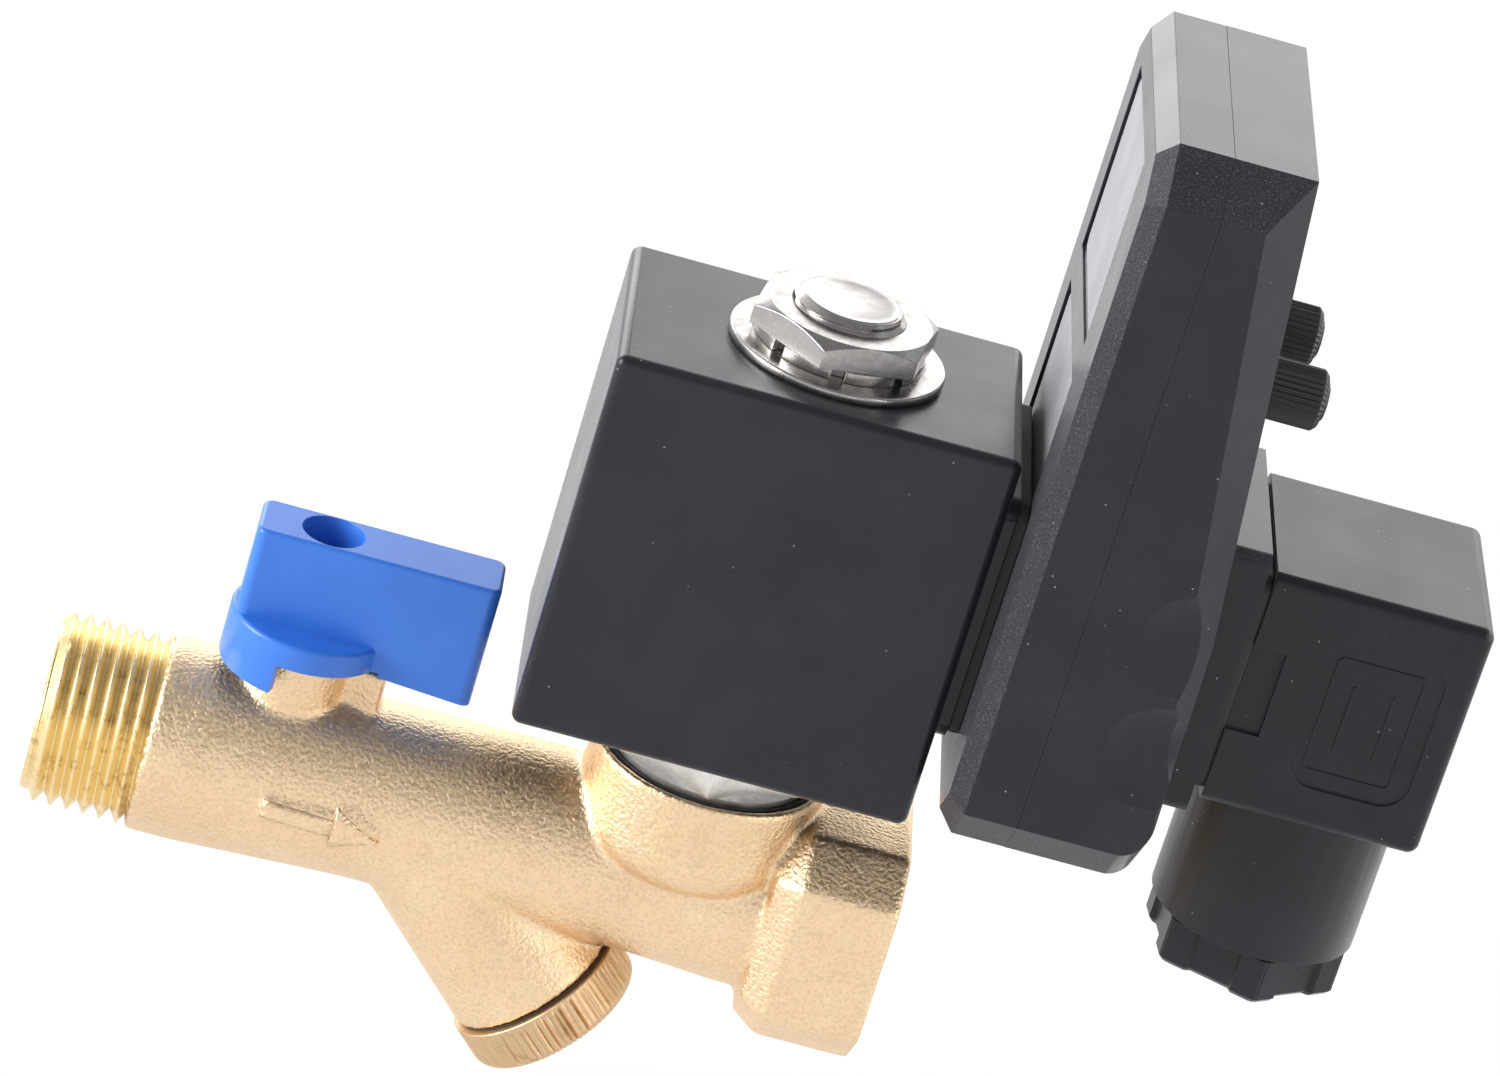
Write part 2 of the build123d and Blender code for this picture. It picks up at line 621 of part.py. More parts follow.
def plunger_spring():
    bottom = PLUNGER_TOP - SPRING_BORE_DEPTH + SPRING_WIRE_R
    height = CORE_BOTTOM - SPRING_WIRE_R - bottom
    path = Helix(height / SPRING_TURNS, height, SPRING_R)
    section = Plane(origin=path @ 0, z_dir=path % 0) * Circle(SPRING_WIRE_R)
    return Pos(SOLENOID_X, 0, bottom) * sweep(section, path=path)


# ---------------------------------------------------------------- coil pieces
def yoke_limits():
    low, high = COIL_BOTTOM + YOKE_MARGIN, COIL_TOP - YOKE_MARGIN
    return low, high


def yoke_block(grow=0.0):
    low, high = yoke_limits()
    x = (SOLENOID_X - YOKE_HALF_LENGTH - grow, SOLENOID_X + YOKE_HALF_LENGTH + grow)
    return block(x, (-YOKE_HALF_WIDTH - grow, YOKE_HALF_WIDTH + grow), (low - grow, high + grow))


def coil_housing():
    half = COIL_WIDTH / 2
    x = (SOLENOID_X - COIL_LEFT, COIL_FACE_X)
    shape = fillet(block(x, (-half, half), (COIL_BOTTOM, COIL_TOP)).edges(), COIL_ROUND)
    pad = square_x(COIL_PAD_SQUARE, COIL_FACE_X - 1, COIL_PAD_X)
    shape += fillet(pad.edges().filter_by(Axis.X), 2.0)
    shape -= rod_z(TUBE_R + FIT, COIL_BOTTOM - 1, COIL_TOP + 1, SOLENOID_X)
    low, high = yoke_limits()
    shape -= yoke_block(FIT) + rod_z(BOBBIN_R + FIT, low, high, SOLENOID_X)
    for site in connector_sites():
        shape -= contact_bar(COIL_FACE_X - BLADE_ROOT - FIT, COIL_PAD_X + 1, site,
                             BLADE_WIDTH + 2 * FIT, BLADE_THICKNESS + 2 * FIT)
    return shape - rod_x(INSERT_R + FIT, COIL_PAD_X - INSERT_LENGTH - FIT, COIL_PAD_X + 1,
                         z=CONNECTOR_Z)


def coil_yoke():
    low, high = yoke_limits()
    inner = (SOLENOID_X - YOKE_HALF_LENGTH + YOKE_PLATE, SOLENOID_X + YOKE_HALF_LENGTH - YOKE_PLATE)
    window = block(inner, (-YOKE_HALF_WIDTH, YOKE_HALF_WIDTH), (low + YOKE_PLATE, high - YOKE_PLATE))
    return yoke_block() - window - rod_z(TUBE_R + FIT, low, high, SOLENOID_X)


def coil_bobbin():
    low, high = yoke_limits()
    low, high = low + YOKE_PLATE + FIT, high - YOKE_PLATE - FIT
    shape = rod_z(BOBBIN_R, low, high, SOLENOID_X)
    shape -= tube_z(BOBBIN_R + 1, TUBE_R + FIT + BOBBIN_WALL, low + BOBBIN_FLANGE,
                    high - BOBBIN_FLANGE, SOLENOID_X)
    return shape - rod_z(TUBE_R + FIT, low, high, SOLENOID_X)


def coil_winding():
    low, high = yoke_limits()
    margin = YOKE_PLATE + BOBBIN_FLANGE + 2 * FIT
    return tube_z(WINDING_R, TUBE_R + BOBBIN_WALL + 2 * FIT, low + margin, high - margin, SOLENOID_X)


def coil_terminals():
    blades = [
        contact_bar(COIL_FACE_X - BLADE_ROOT, TIMER_X + BLADE_REACH - 1, site,
                    BLADE_WIDTH, BLADE_THICKNESS)
        for site in connector_sites()
    ]
    return Compound(children=blades)


def coil_screw_insert():
    low = COIL_PAD_X - INSERT_LENGTH
    return tube_x(INSERT_R, LONG_SCREW_R + FIT, low, COIL_PAD_X, z=CONNECTOR_Z)


def coil_washer():
    return tube_z(WASHER_R, TUBE_R + 0.15, COIL_TOP, COIL_TOP + WASHER_THICKNESS, SOLENOID_X)


def coil_lock_washer():
    """Spring washer with outer notches."""
    low = COIL_TOP + WASHER_THICKNESS
    high = low + LOCK_WASHER_THICKNESS
    shape = tube_z(LOCK_WASHER_R, TUBE_R + 0.15, low, high, SOLENOID_X)
    for index in range(8):
        notch = block((LOCK_WASHER_R - 1.2, LOCK_WASHER_R + 1), (-0.7, 0.7), (low, high))
        shape -= Pos(SOLENOID_X, 0, 0) * Rot(0, 0, index * 45) * notch
    return shape


def coil_nut():
    low = COIL_TOP + WASHER_THICKNESS + LOCK_WASHER_THICKNESS
    high = low + COIL_NUT_HEIGHT
    shape = hexagon_z(COIL_NUT_FLATS, low, high, SOLENOID_X, 18)
    corner = COIL_NUT_FLATS / math.sqrt(3)
    crown = rod_z(corner, low, high, SOLENOID_X)
    crown = chamfer(crown.edges().group_by(Axis.Z)[-1], 0.9, 1.5)
    return (shape & crown) - rod_z(TUBE_R + FIT, low, high, SOLENOID_X)


# ---------------------------------------------------------------- timer pieces
def timer_outline(low, high, inset=0.0):
    """Chamfered rectangle of the timer case, extruded along X."""
    half = TIMER_WIDTH / 2 - inset
    shape = block((low, high), (-half, half), (TIMER_BOTTOM + inset, TIMER_TOP - inset))
    return chamfer(shape.edges().filter_by(Axis.X), TIMER_CORNER - 0.41 * inset)


def timer_gasket():
    shape = square_x(GASKET_SQUARE, COIL_PAD_X, TIMER_X)
    shape = fillet(shape.edges().filter_by(Axis.X), 2.0)
    return shape - gasket_holes(COIL_PAD_X, TIMER_X)


def gasket_holes(low, high):
    holes = rod_x(LONG_SCREW_R + AIR, low, high, z=CONNECTOR_Z)
    for site in connector_sites():
        holes += contact_bar(low, high, site, BLADE_WIDTH + AIR, BLADE_THICKNESS + AIR)
    return holes


def timer_base():
    shape = timer_outline(TIMER_X, SEAM_X)
    shape = chamfer(shape.faces().sort_by(Axis.X)[0].edges(), BASE_BEVEL_X, BASE_BEVEL)
    shape -= timer_outline(TIMER_X + TIMER_WALL, SEAM_X + 1, TIMER_WALL)
    shape -= gasket_holes(TIMER_X - 1, TIMER_X + TIMER_WALL + 1)
    for low, high in PANEL_STATIONS:
        y = (PANEL_OFFSET_Y - PANEL_HALF_WIDTH, PANEL_OFFSET_Y + PANEL_HALF_WIDTH)
        shape -= block((TIMER_X - 1, TIMER_X + PANEL_RECESS), y, (low, high))
    return shape


def cover_wedge(inset=0.0):
    """The cover's side profile: thin at the top, full depth below the knee."""
    reach = TIMER_WIDTH
    with BuildSketch(Plane.XZ) as sketch:
        with BuildLine():
            Polyline(
                (SEAM_X - 5, TIMER_BOTTOM - 5), (COVER_X - inset, TIMER_BOTTOM - 5),
                (COVER_X - inset, COVER_KNEE_Z), (COVER_TOP_X - inset, TIMER_TOP),
                (COVER_TOP_X - inset, TIMER_TOP + 5), (SEAM_X - 5, TIMER_TOP + 5), close=True,
            )
        make_face()
    return extrude(sketch.sketch, reach, both=True)


def side_bevel(side):
    """Half space beyond the long facet that narrows downwards; side is -1 or +1."""
    edge = TIMER_WIDTH / 2
    top_side = Vector(COVER_TOP_X - SIDE_BEVEL, side * edge, TIMER_TOP)
    top_face = Vector(COVER_TOP_X, side * (edge - TIMER_CORNER), TIMER_TOP)
    foot = Vector(COVER_X, side * edge, SIDE_BEVEL_END_Z)
    normal = (top_face - top_side).cross(foot - top_side).normalized()
    if normal.X < 0:
        normal = normal * -1
    facet = Plane(origin=foot, z_dir=normal)
    return facet.location * Pos(0, 0, TIMER_WIDTH) * Box(4 * TIMER_TOP, 4 * TIMER_TOP, 2 * TIMER_WIDTH)


def grip_scallop(side, z):
    centre = (COVER_X + GRIP_R * 0.45, side * (TIMER_WIDTH / 2 + GRIP_R * 0.8 - GRIP_BITE), z)
    return Pos(*centre) * Sphere(GRIP_R)


def timer_cover():
    shape = timer_outline(SEAM_X, COVER_X) & cover_wedge()
    edges = shape.faces().sort_by(Axis.X)[-1].edges()
    foot = [edge for edge in edges if edge.center().Z < TIMER_BOTTOM + TIMER_CORNER]
    shape = fillet(foot, FOOT_ROUND)
    for side in (-1, 1):
        shape -= side_bevel(side)
        for index in range(2):
            shape -= grip_scallop(side, GRIP_TOP_Z - index * GRIP_PITCH)
    half = PEDESTAL_SQUARE / 2
    pedestal = block((COVER_X - 1, PEDESTAL_X), (-half, half), (PEDESTAL_BOTTOM_Z, PEDESTAL_TOP_Z))
    shape += fillet(pedestal.edges().filter_by(Axis.X), PEDESTAL_ROUND)
    hollow = timer_outline(SEAM_X - 1, COVER_X - TIMER_WALL, 2 * TIMER_WALL)
    shape -= hollow & cover_wedge(TIMER_WALL)
    shape -= gasket_holes(SEAM_X, PEDESTAL_X + 1)
    return shape - control_holes()


def control_sites():
    """(y, z) of the two knobs, the test button and the two lamps."""
    knobs = [(-KNOB_SPACING / 2, KNOB_Z), (KNOB_SPACING / 2, KNOB_Z)]
    lamps = [(-KNOB_SPACING / 2, BUTTON_Z), (KNOB_SPACING / 2, BUTTON_Z)]
    return knobs, (0, BUTTON_Z), lamps


def face_x(z):
    """X of the cover's sloping front at height z."""
    share = (z - COVER_KNEE_Z) / (TIMER_TOP - COVER_KNEE_Z)
    return COVER_X - max(share, 0) * (COVER_X - COVER_TOP_X)


def control_holes():
    knobs, button, lamps = control_sites()
    holes = rod_x(BUTTON_R + RUN, SEAM_X, COVER_X + 5, *button)
    for y, z in knobs:
        holes += rod_x(KNOB_STEM_R + RUN, SEAM_X, COVER_X + 5, y, z)
    for y, z in lamps:
        holes += rod_x(LAMP_R + FIT, SEAM_X, COVER_X + 5, y, z)
    return holes


def timer_board():
    inset = TIMER_WALL * 2 + FIT
    shape = timer_outline(BOARD_X, BOARD_END_X, inset)
    shape -= rod_x(LONG_SCREW_R + AIR, BOARD_X, BOARD_END_X, z=CONNECTOR_Z)
    for site in connector_sites():
        shape -= contact_bar(BOARD_X, BOARD_END_X, site, BLADE_WIDTH + 2 * FIT,
                             BLADE_THICKNESS + 2 * FIT)
    return shape


def timer_sockets():
    """Three female contacts on the board that take the coil's blades."""
    low = BOARD_X - SOCKET_LENGTH
    shapes = []
    for site in connector_sites():
        body = contact_bar(low, BOARD_X, site, BLADE_WIDTH + 1.6, BLADE_THICKNESS + 1.6)
        shapes.append(body - contact_bar(low, BOARD_X, site, BLADE_WIDTH + 2 * FIT,
                                         BLADE_THICKNESS + 2 * FIT))
    return Compound(children=shapes)


def timer_blades():
    blades = [
        contact_bar(BOARD_X, PLUG_X + BLADE_REACH, site, BLADE_WIDTH, BLADE_THICKNESS)
        for site in connector_sites()
    ]
    return Compound(children=blades)


def potentiometers():
    """Two board potentiometers; each has a socket for its knob's stem."""
    knobs = control_sites()[0]
    half = POT_SIZE / 2
    shapes = []
    for y, z in knobs:
        high = face_x(z) - TIMER_WALL - AIR - 0.5
        body = block((BOARD_END_X, min(BOARD_END_X + POT_DEPTH, high)),
                     (y - half * 0.8, y + half * 0.8), (z - half, z + half))
        shapes.append(body - rod_x(KNOB_STEM_R + RUN, high - KNOB_STEM_SINK, high + 1, y, z))
    return Compound(children=shapes)


def timer_knob(index):
    y, z = control_sites()[0][index]
    face = face_x(z - KNOB_R)
    tip = face + KNOB_PROUD
    grip = rod_x(KNOB_R, face + AIR, tip, y, z)
    grip = chamfer(grip.edges().group_by(Axis.X)[-1], 0.5)
    cap = rod_x(KNOB_R * 0.62, tip - 0.1, tip + 0.35, y, z)
    stem = rod_x(KNOB_STEM_R, face_x(z) - TIMER_WALL - AIR - 0.5 - KNOB_STEM_SINK + RUN,
                 face + AIR + 0.1, y, z)
    slot = block((tip - 0.4, tip + 1), (y - 0.4, y + 0.4), (z - 2, z + 2))
    return grip + cap + stem - slot


def test_button():
    y, z = control_sites()[1]
    wall_inside = face_x(z + BUTTON_FLANGE_R) - TIMER_WALL * 1.2
    flange = rod_x(BUTTON_FLANGE_R, wall_inside - 1.3, wall_inside - AIR, y, z)
    return flange + rod_x(BUTTON_R, wall_inside - 1.3, face_x(z) + BUTTON_PROUD, y, z)


def test_switch():
    y, z = control_sites()[1]
    half = SWITCH_SIZE / 2
    wall_inside = face_x(z + BUTTON_FLANGE_R) - TIMER_WALL * 1.2
    body = block((BOARD_END_X, BOARD_END_X + SWITCH_HEIGHT - 1), (y - half, y + half),
                 (z - half, z + half))
    return body + rod_x(1.5, BOARD_END_X, wall_inside - 1.3 - BUTTON_TRAVEL - 0.1, y, z)


def status_lamps():
    lamps = control_sites()[2]
    shapes = []
    for y, z in lamps:
        tip = face_x(z) + LAMP_PROUD
        body = rod_x(LAMP_R, BOARD_END_X, tip, y, z)
        shapes.append(fillet(body.edges().group_by(Axis.X)[-1], LAMP_R * 0.9))
    return Compound(children=shapes)


# ---------------------------------------------------------------- plug pieces
def plug_gasket():
    shape = square_x(PLUG_WIDTH - 2 * AIR, PEDESTAL_X, PLUG_X)
    shape = fillet(shape.edges().filter_by(Axis.X), 2.0)
    return shape - gasket_holes(PEDESTAL_X, PLUG_X)


def plug_housing():
    half = PLUG_WIDTH / 2
    shape = block((PLUG_X, PLUG_END_X), (-half, half), (PLUG_BOTTOM, PLUG_TOP))
    shape = fillet(shape.edges().filter_by(Axis.X) + shape.faces().sort_by(Axis.X)[-1].edges(),
                   PLUG_ROUND)
    shape += rod_z(GLAND_R, GLAND_BOTTOM, PLUG_BOTTOM + 1, GLAND_X)
    room = half - PLUG_WALL
    shape -= block((PLUG_X - 1, PLUG_END_X - 3 * PLUG_WALL), (-room, room),
                   (PLUG_BOTTOM + PLUG_WALL, PLUG_TOP - PLUG_WALL))
    shape -= rod_z(GLAND_BORE_R, GLAND_BOTTOM - 1, PLUG_BOTTOM + PLUG_WALL + 1, GLAND_X)
    shape -= rod_x(LONG_SCREW_HEAD_R + AIR, HEAD_BOTTOM_X - SCREW_RING_THICKNESS, PLUG_END_X + 1,
                   z=CONNECTOR_Z)
    shape -= rod_x(LONG_SCREW_R + AIR, PLUG_X, PLUG_END_X, z=CONNECTOR_Z)
    for side in (-1, 1):
        y = sorted((side * half, side * (half - NOTCH_DEPTH)))
        shape -= block((PLUG_X - 1, PLUG_X + NOTCH_WIDTH), y, (NOTCH_LOW_Z, NOTCH_HIGH_Z))
    return shape - plug_panel()


def plug_panel():
    """The shallow panel sunk into the plug's front side."""
    x = (PLUG_X + FRAME_X[0], PLUG_X + FRAME_X[1])
    face = -PLUG_WIDTH / 2
    panel = block(x, (face - 1, face + FRAME_DEPTH), FRAME_Z)
    return fillet(panel.edges().filter_by(Axis.Y), FRAME_CORNER)


def plug_insert():
    """Terminal block that holds the plug's contacts."""
    depth = PLUG_X + INSERT_BLOCK_DEPTH
    shape = square_x(INSERT_BLOCK_SQUARE + 2, PLUG_X + FIT, depth)
    shape = fillet(shape.edges().filter_by(Axis.X), 2.0)
    shape -= rod_x(LONG_SCREW_R + AIR, PLUG_X, depth, z=CONNECTOR_Z)
    for site in connector_sites():
        shape -= contact_bar(PLUG_X, depth - 1.5, site, BLADE_WIDTH + 1.6 + 2 * FIT,
                             BLADE_THICKNESS + 1.2 + 2 * FIT)
    return shape


def plug_contacts():
    shapes = []
    for site in connector_sites():
        low, high = PLUG_X + 0.6, PLUG_X + INSERT_BLOCK_DEPTH - 1.5 - FIT
        body = contact_bar(low, high, site, BLADE_WIDTH + 1.6, BLADE_THICKNESS + 1.2)
        shapes.append(body - contact_bar(low, PLUG_X + BLADE_REACH + 0.5, site,
                                         BLADE_WIDTH + 2 * FIT, BLADE_THICKNESS + 2 * FIT))
    return Compound(children=shapes)


def long_screw():
    """Screw through plug and timer into the coil's insert."""
    shank = rod_x(LONG_SCREW_R, COIL_PAD_X - INSERT_LENGTH + AIR, HEAD_BOTTOM_X + 0.1,
                  z=CONNECTOR_Z)
    head = rod_x(LONG_SCREW_HEAD_R, HEAD_BOTTOM_X, HEAD_BOTTOM_X + LONG_SCREW_HEAD, z=CONNECTOR_Z)
    head = chamfer(head.edges().group_by(Axis.X)[-1], 0.3)
    slot = block((HEAD_BOTTOM_X + LONG_SCREW_HEAD - 0.9, PLUG_END_X), (-0.4, 0.4),
                 (CONNECTOR_Z - 4, CONNECTOR_Z + 4))
    return shank + head - slot


def screw_ring():
    return tube_x(LONG_SCREW_HEAD_R, LONG_SCREW_R + FIT, HEAD_BOTTOM_X - SCREW_RING_THICKNESS,
                  HEAD_BOTTOM_X, z=CONNECTOR_Z)


def gland_nut():
    """Gland nut whose six flats leave raised corner pads."""
    shape = rod_z(GLAND_NUT_R, GLAND_NUT_BOTTOM, GLAND_BOTTOM, GLAND_X)
    shape = fillet(shape.edges().group_by(Axis.Z)[0], 0.8)
    for index in range(6):
        cut = block((GLAND_NUT_R - GLAND_NUT_BITE, GLAND_NUT_R + 2), (-3.4, 3.4),
                    (GLAND_NUT_BOTTOM - 1, GLAND_BOTTOM - 1.4))
        shape -= Pos(GLAND_X, 0, 0) * Rot(0, 0, 30 + index * 60) * cut
    shape += rod_z(GLAND_BORE_R - FIT, GLAND_BOTTOM, GLAND_BOTTOM + GLAND_NUT_SPIGOT, GLAND_X)
    return shape - rod_z(GLAND_NUT_MOUTH_R, 0, PLUG_BOTTOM, GLAND_X)


def gland_washer():
    low = GLAND_BOTTOM + GLAND_NUT_SPIGOT
    return tube_z(GLAND_BORE_R - RUN, GLAND_NUT_MOUTH_R, low, low + GLAND_WASHER_THICKNESS, GLAND_X)


def gland_grommet():
    low = GLAND_BOTTOM + GLAND_NUT_SPIGOT + GLAND_WASHER_THICKNESS
    return tube_z(GLAND_BORE_R - RUN, CABLE_R, low, low + GROMMET_LENGTH, GLAND_X)


PIECES = {
    "valve_body": valve_body,
    "ball": ball,
    "ball_seat_inlet": ball_seat_inlet,
    "ball_seat_outlet": ball_seat_outlet,
    "ball_retainer": ball_retainer,
    "ball_stem": ball_stem,
    "stem_o_ring": stem_o_ring,
    "ball_handle": ball_handle,
    "handle_screw": handle_screw,
    "strainer_screen": strainer_screen,
    "strainer_cap": strainer_cap,
    "strainer_gasket": strainer_gasket,
    "armature_tube": armature_tube,
    "tube_o_ring": tube_o_ring,
    "fixed_core": fixed_core,
    "shading_ring": shading_ring,
    "plunger": plunger,
    "plunger_seal": plunger_seal,
    "plunger_spring": plunger_spring,
    "coil_housing": coil_housing,
    "coil_yoke": coil_yoke,
    "coil_bobbin": coil_bobbin,
    "coil_winding": coil_winding,
    "coil_terminals": coil_terminals,
    "coil_screw_insert": coil_screw_insert,
    "coil_washer": coil_washer,
    "coil_lock_washer": coil_lock_washer,
    "coil_nut": coil_nut,
    "timer_gasket": timer_gasket,
    "timer_base": timer_base,
    "timer_cover": timer_cover,
    "timer_board": timer_board,
    "timer_sockets": timer_sockets,
    "timer_blades": timer_blades,
    "potentiometers": potentiometers,
    "knob_off_time": lambda: timer_knob(1),
    "knob_on_time": lambda: timer_knob(0),
    "test_button": test_button,
    "test_switch": test_switch,
    "status_lamps": status_lamps,
    "plug_gasket": plug_gasket,
    "plug_housing": plug_housing,
    "plug_insert": plug_insert,
    "plug_contacts": plug_contacts,
    "long_screw": long_screw,
    "screw_ring": screw_ring,
    "gland_nut": gland_nut,
    "gland_washer": gland_washer,
    "gland_grommet": gland_grommet,
}

os.makedirs("parts", exist_ok=True)
for name, make in PIECES.items():
    export_step(make(), f"parts/{name}.step")
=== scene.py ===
import json
import math

import bmesh
import bpy
import numpy as np
from mathutils import Matrix, Vector


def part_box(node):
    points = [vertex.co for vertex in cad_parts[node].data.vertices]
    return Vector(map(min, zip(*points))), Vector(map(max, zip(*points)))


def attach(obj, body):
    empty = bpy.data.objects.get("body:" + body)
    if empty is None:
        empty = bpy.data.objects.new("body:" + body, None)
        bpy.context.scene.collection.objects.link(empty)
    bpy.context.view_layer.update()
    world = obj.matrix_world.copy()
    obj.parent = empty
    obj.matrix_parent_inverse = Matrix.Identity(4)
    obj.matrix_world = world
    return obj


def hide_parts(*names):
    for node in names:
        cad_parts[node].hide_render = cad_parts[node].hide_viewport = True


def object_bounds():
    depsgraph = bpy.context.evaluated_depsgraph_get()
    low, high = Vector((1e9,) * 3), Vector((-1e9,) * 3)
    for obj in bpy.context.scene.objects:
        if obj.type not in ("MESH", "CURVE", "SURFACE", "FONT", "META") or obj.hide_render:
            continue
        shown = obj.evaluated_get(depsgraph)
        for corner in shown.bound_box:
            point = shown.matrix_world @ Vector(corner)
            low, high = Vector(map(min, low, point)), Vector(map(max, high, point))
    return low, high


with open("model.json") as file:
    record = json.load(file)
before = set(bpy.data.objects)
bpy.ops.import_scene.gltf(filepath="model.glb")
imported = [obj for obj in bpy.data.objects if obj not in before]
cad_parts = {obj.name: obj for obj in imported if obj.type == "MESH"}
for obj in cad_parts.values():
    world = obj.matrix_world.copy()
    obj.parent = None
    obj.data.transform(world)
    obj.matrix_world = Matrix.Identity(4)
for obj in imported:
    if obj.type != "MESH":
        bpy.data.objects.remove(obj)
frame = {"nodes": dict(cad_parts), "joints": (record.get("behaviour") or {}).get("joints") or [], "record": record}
cad_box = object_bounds()
MM = 0.001

# ------------------------------------------------------------------ camera
LENS = 161.8
TARGET = Vector((0.05534, 0.0, 0.04054))
DISTANCE = 0.7108
AZIMUTH = math.radians(5.19)
ELEVATION = math.radians(25.16)
ROLL = math.radians(17.28)


def add_camera():
    forward = Vector((
        math.sin(AZIMUTH) * math.cos(ELEVATION),
        math.cos(AZIMUTH) * math.cos(ELEVATION),
        -math.sin(ELEVATION),
    ))
    level = forward.cross(Vector((0, 0, 1))).normalized()
    above = level.cross(forward)
    right = level * math.cos(ROLL) + above * math.sin(ROLL)
    up = above * math.cos(ROLL) - level * math.sin(ROLL)
    place = Matrix((
        (right.x, up.x, -forward.x), (right.y, up.y, -forward.y), (right.z, up.z, -forward.z),
    )).to_4x4()
    place.translation = TARGET - forward * DISTANCE
    data = bpy.data.cameras.new("camera")
    data.lens = LENS
    data.clip_start = 0.01
    camera = bpy.data.objects.new("camera", data)
    camera.matrix_world = place
    bpy.context.scene.collection.objects.link(camera)
    bpy.context.scene.camera = camera


# ------------------------------------------------------------------ material helpers
class Tree:
    """Short calls for building a node tree."""

    def __init__(self, tree):
        self.tree = tree

    def add(self, kind, **settings):
        node = self.tree.nodes.new(kind)
        for key, value in settings.items():
            setattr(node, key, value)
        return node

    def link(self, source, target):
        self.tree.links.new(source, target)

    def fill(self, socket, value):
        """Links a node's output to a socket, or gives the socket a number or a colour."""
        if hasattr(value, "is_linked"):
            self.link(value, socket)
        else:
            socket.default_value = (*value, 1) if isinstance(value, tuple) else value

    def scale(self, value, low, high, start=0.0, end=1.0):
        """Maps start..end to low..high and holds the value there."""
        node = self.add("ShaderNodeMapRange")
        for key, limit in zip(("From Min", "From Max", "To Min", "To Max"),
                              (start, end, low, high)):
            self.fill(node.inputs[key], limit)
        self.link(value, node.inputs["Value"])
        return node.outputs["Result"]


class Nodes(Tree):
    """One material's node tree, whose patterns lie in the shared frame."""

    def __init__(self, name):
        self.material = bpy.data.materials.new(name)
        self.material.use_nodes = True
        super().__init__(self.material.node_tree)
        self.shader = self.tree.nodes["Principled BSDF"]
        self.geometry = self.add("ShaderNodeNewGeometry")
        self.place = self.geometry.outputs["Position"]

    def noise(self, size_mm, detail=2.0, rough=0.5, stretch=None):
        node = self.add("ShaderNodeTexNoise")
        node.inputs["Scale"].default_value = 1 / (size_mm * MM)
        node.inputs["Detail"].default_value = detail
        node.inputs["Roughness"].default_value = rough
        self.link(self.stretched(stretch), node.inputs["Vector"])
        return node.outputs["Fac"]

    def stretched(self, stretch):
        if stretch is None:
            return self.place
        mapping = self.add("ShaderNodeMapping")
        mapping.inputs["Scale"].default_value = stretch
        self.link(self.place, mapping.inputs["Vector"])
        return mapping.outputs["Vector"]

    def cells(self, size_mm, feature="F1"):
        node = self.add("ShaderNodeTexVoronoi", feature=feature)
        node.inputs["Scale"].default_value = 1 / (size_mm * MM)
        self.link(self.place, node.inputs["Vector"])
        return node.outputs["Distance"]

    def ramp(self, value, stops):
        node = self.add("ShaderNodeValToRGB")
        for element, (position, colour) in zip(node.color_ramp.elements, stops):
            element.position = position
            element.color = (*colour, 1)
        self.link(value, node.inputs["Fac"])
        return node.outputs["Color"]

    def mix(self, share, first, second):
        node = self.add("ShaderNodeMix", data_type="RGBA")
        for key, value in (("Factor", share), ("A", first), ("B", second)):
            self.fill(node.inputs[key], value)
        return node.outputs["Result"]

    def math(self, operation, first, second):
        node = self.add("ShaderNodeMath", operation=operation)
        for socket, value in zip(node.inputs, (first, second)):
            self.fill(socket, value)
        return node.outputs["Value"]

    def times(self, first, second):
        return self.math("MULTIPLY", first, second)

    def sum(self, first, second):
        return self.math("ADD", first, second)

    def askew(self):
        """1 on slanted faces that don't look towards +X, 0 on square faces."""
        split = self.add("ShaderNodeSeparateXYZ")
        self.link(self.geometry.outputs["True Normal"], split.inputs["Vector"])
        across = self.math("ABSOLUTE", split.outputs["Y"], 0.0)
        slanted = self.times(self.scale(across, 0.0, 1.0, start=0.25, end=0.45),
                             self.scale(across, 1.0, 0.0, start=0.86, end=0.96))
        not_right = self.scale(split.outputs["X"], 1.0, 0.0, start=0.08, end=0.16)
        return self.times(slanted, not_right)

    def bump(self, height, depth_mm, strength=1.0, below=None):
        node = self.add("ShaderNodeBump")
        node.inputs["Distance"].default_value = depth_mm * MM
        node.inputs["Strength"].default_value = strength
        self.link(height, node.inputs["Height"])
        if below is not None:
            self.link(below, node.inputs["Normal"])
        return node.outputs["Normal"]

    def set(self, **values):
        """Sets the shader's inputs, named with _ for each space, and gives the material."""
        for key, value in values.items():
            self.fill(self.shader.inputs[key.replace("_", " ")], value)
        return self.material


# ------------------------------------------------------------------ finishes
BRASS_DEEP = (0.88, 0.655, 0.42)
BRASS_PALE = (0.95, 0.73, 0.48)
BRASS_SPECK = (0.50, 0.34, 0.19)
BRASS_GLINT = (0.98, 0.88, 0.70)
COAL = (0.015, 0.0145, 0.020)
COAL_LIGHT = (0.020, 0.0192, 0.026)
DUST_GREY = (0.45, 0.45, 0.45)
# Grey of the plastic's painted glints: specks of painted highlight on slanted faces.
GLINT_GREY = (0.35, 0.35, 0.37)
SHEEN_TINT = (0.96, 0.92, 1.0)
BLACK_SHEEN = 0.22


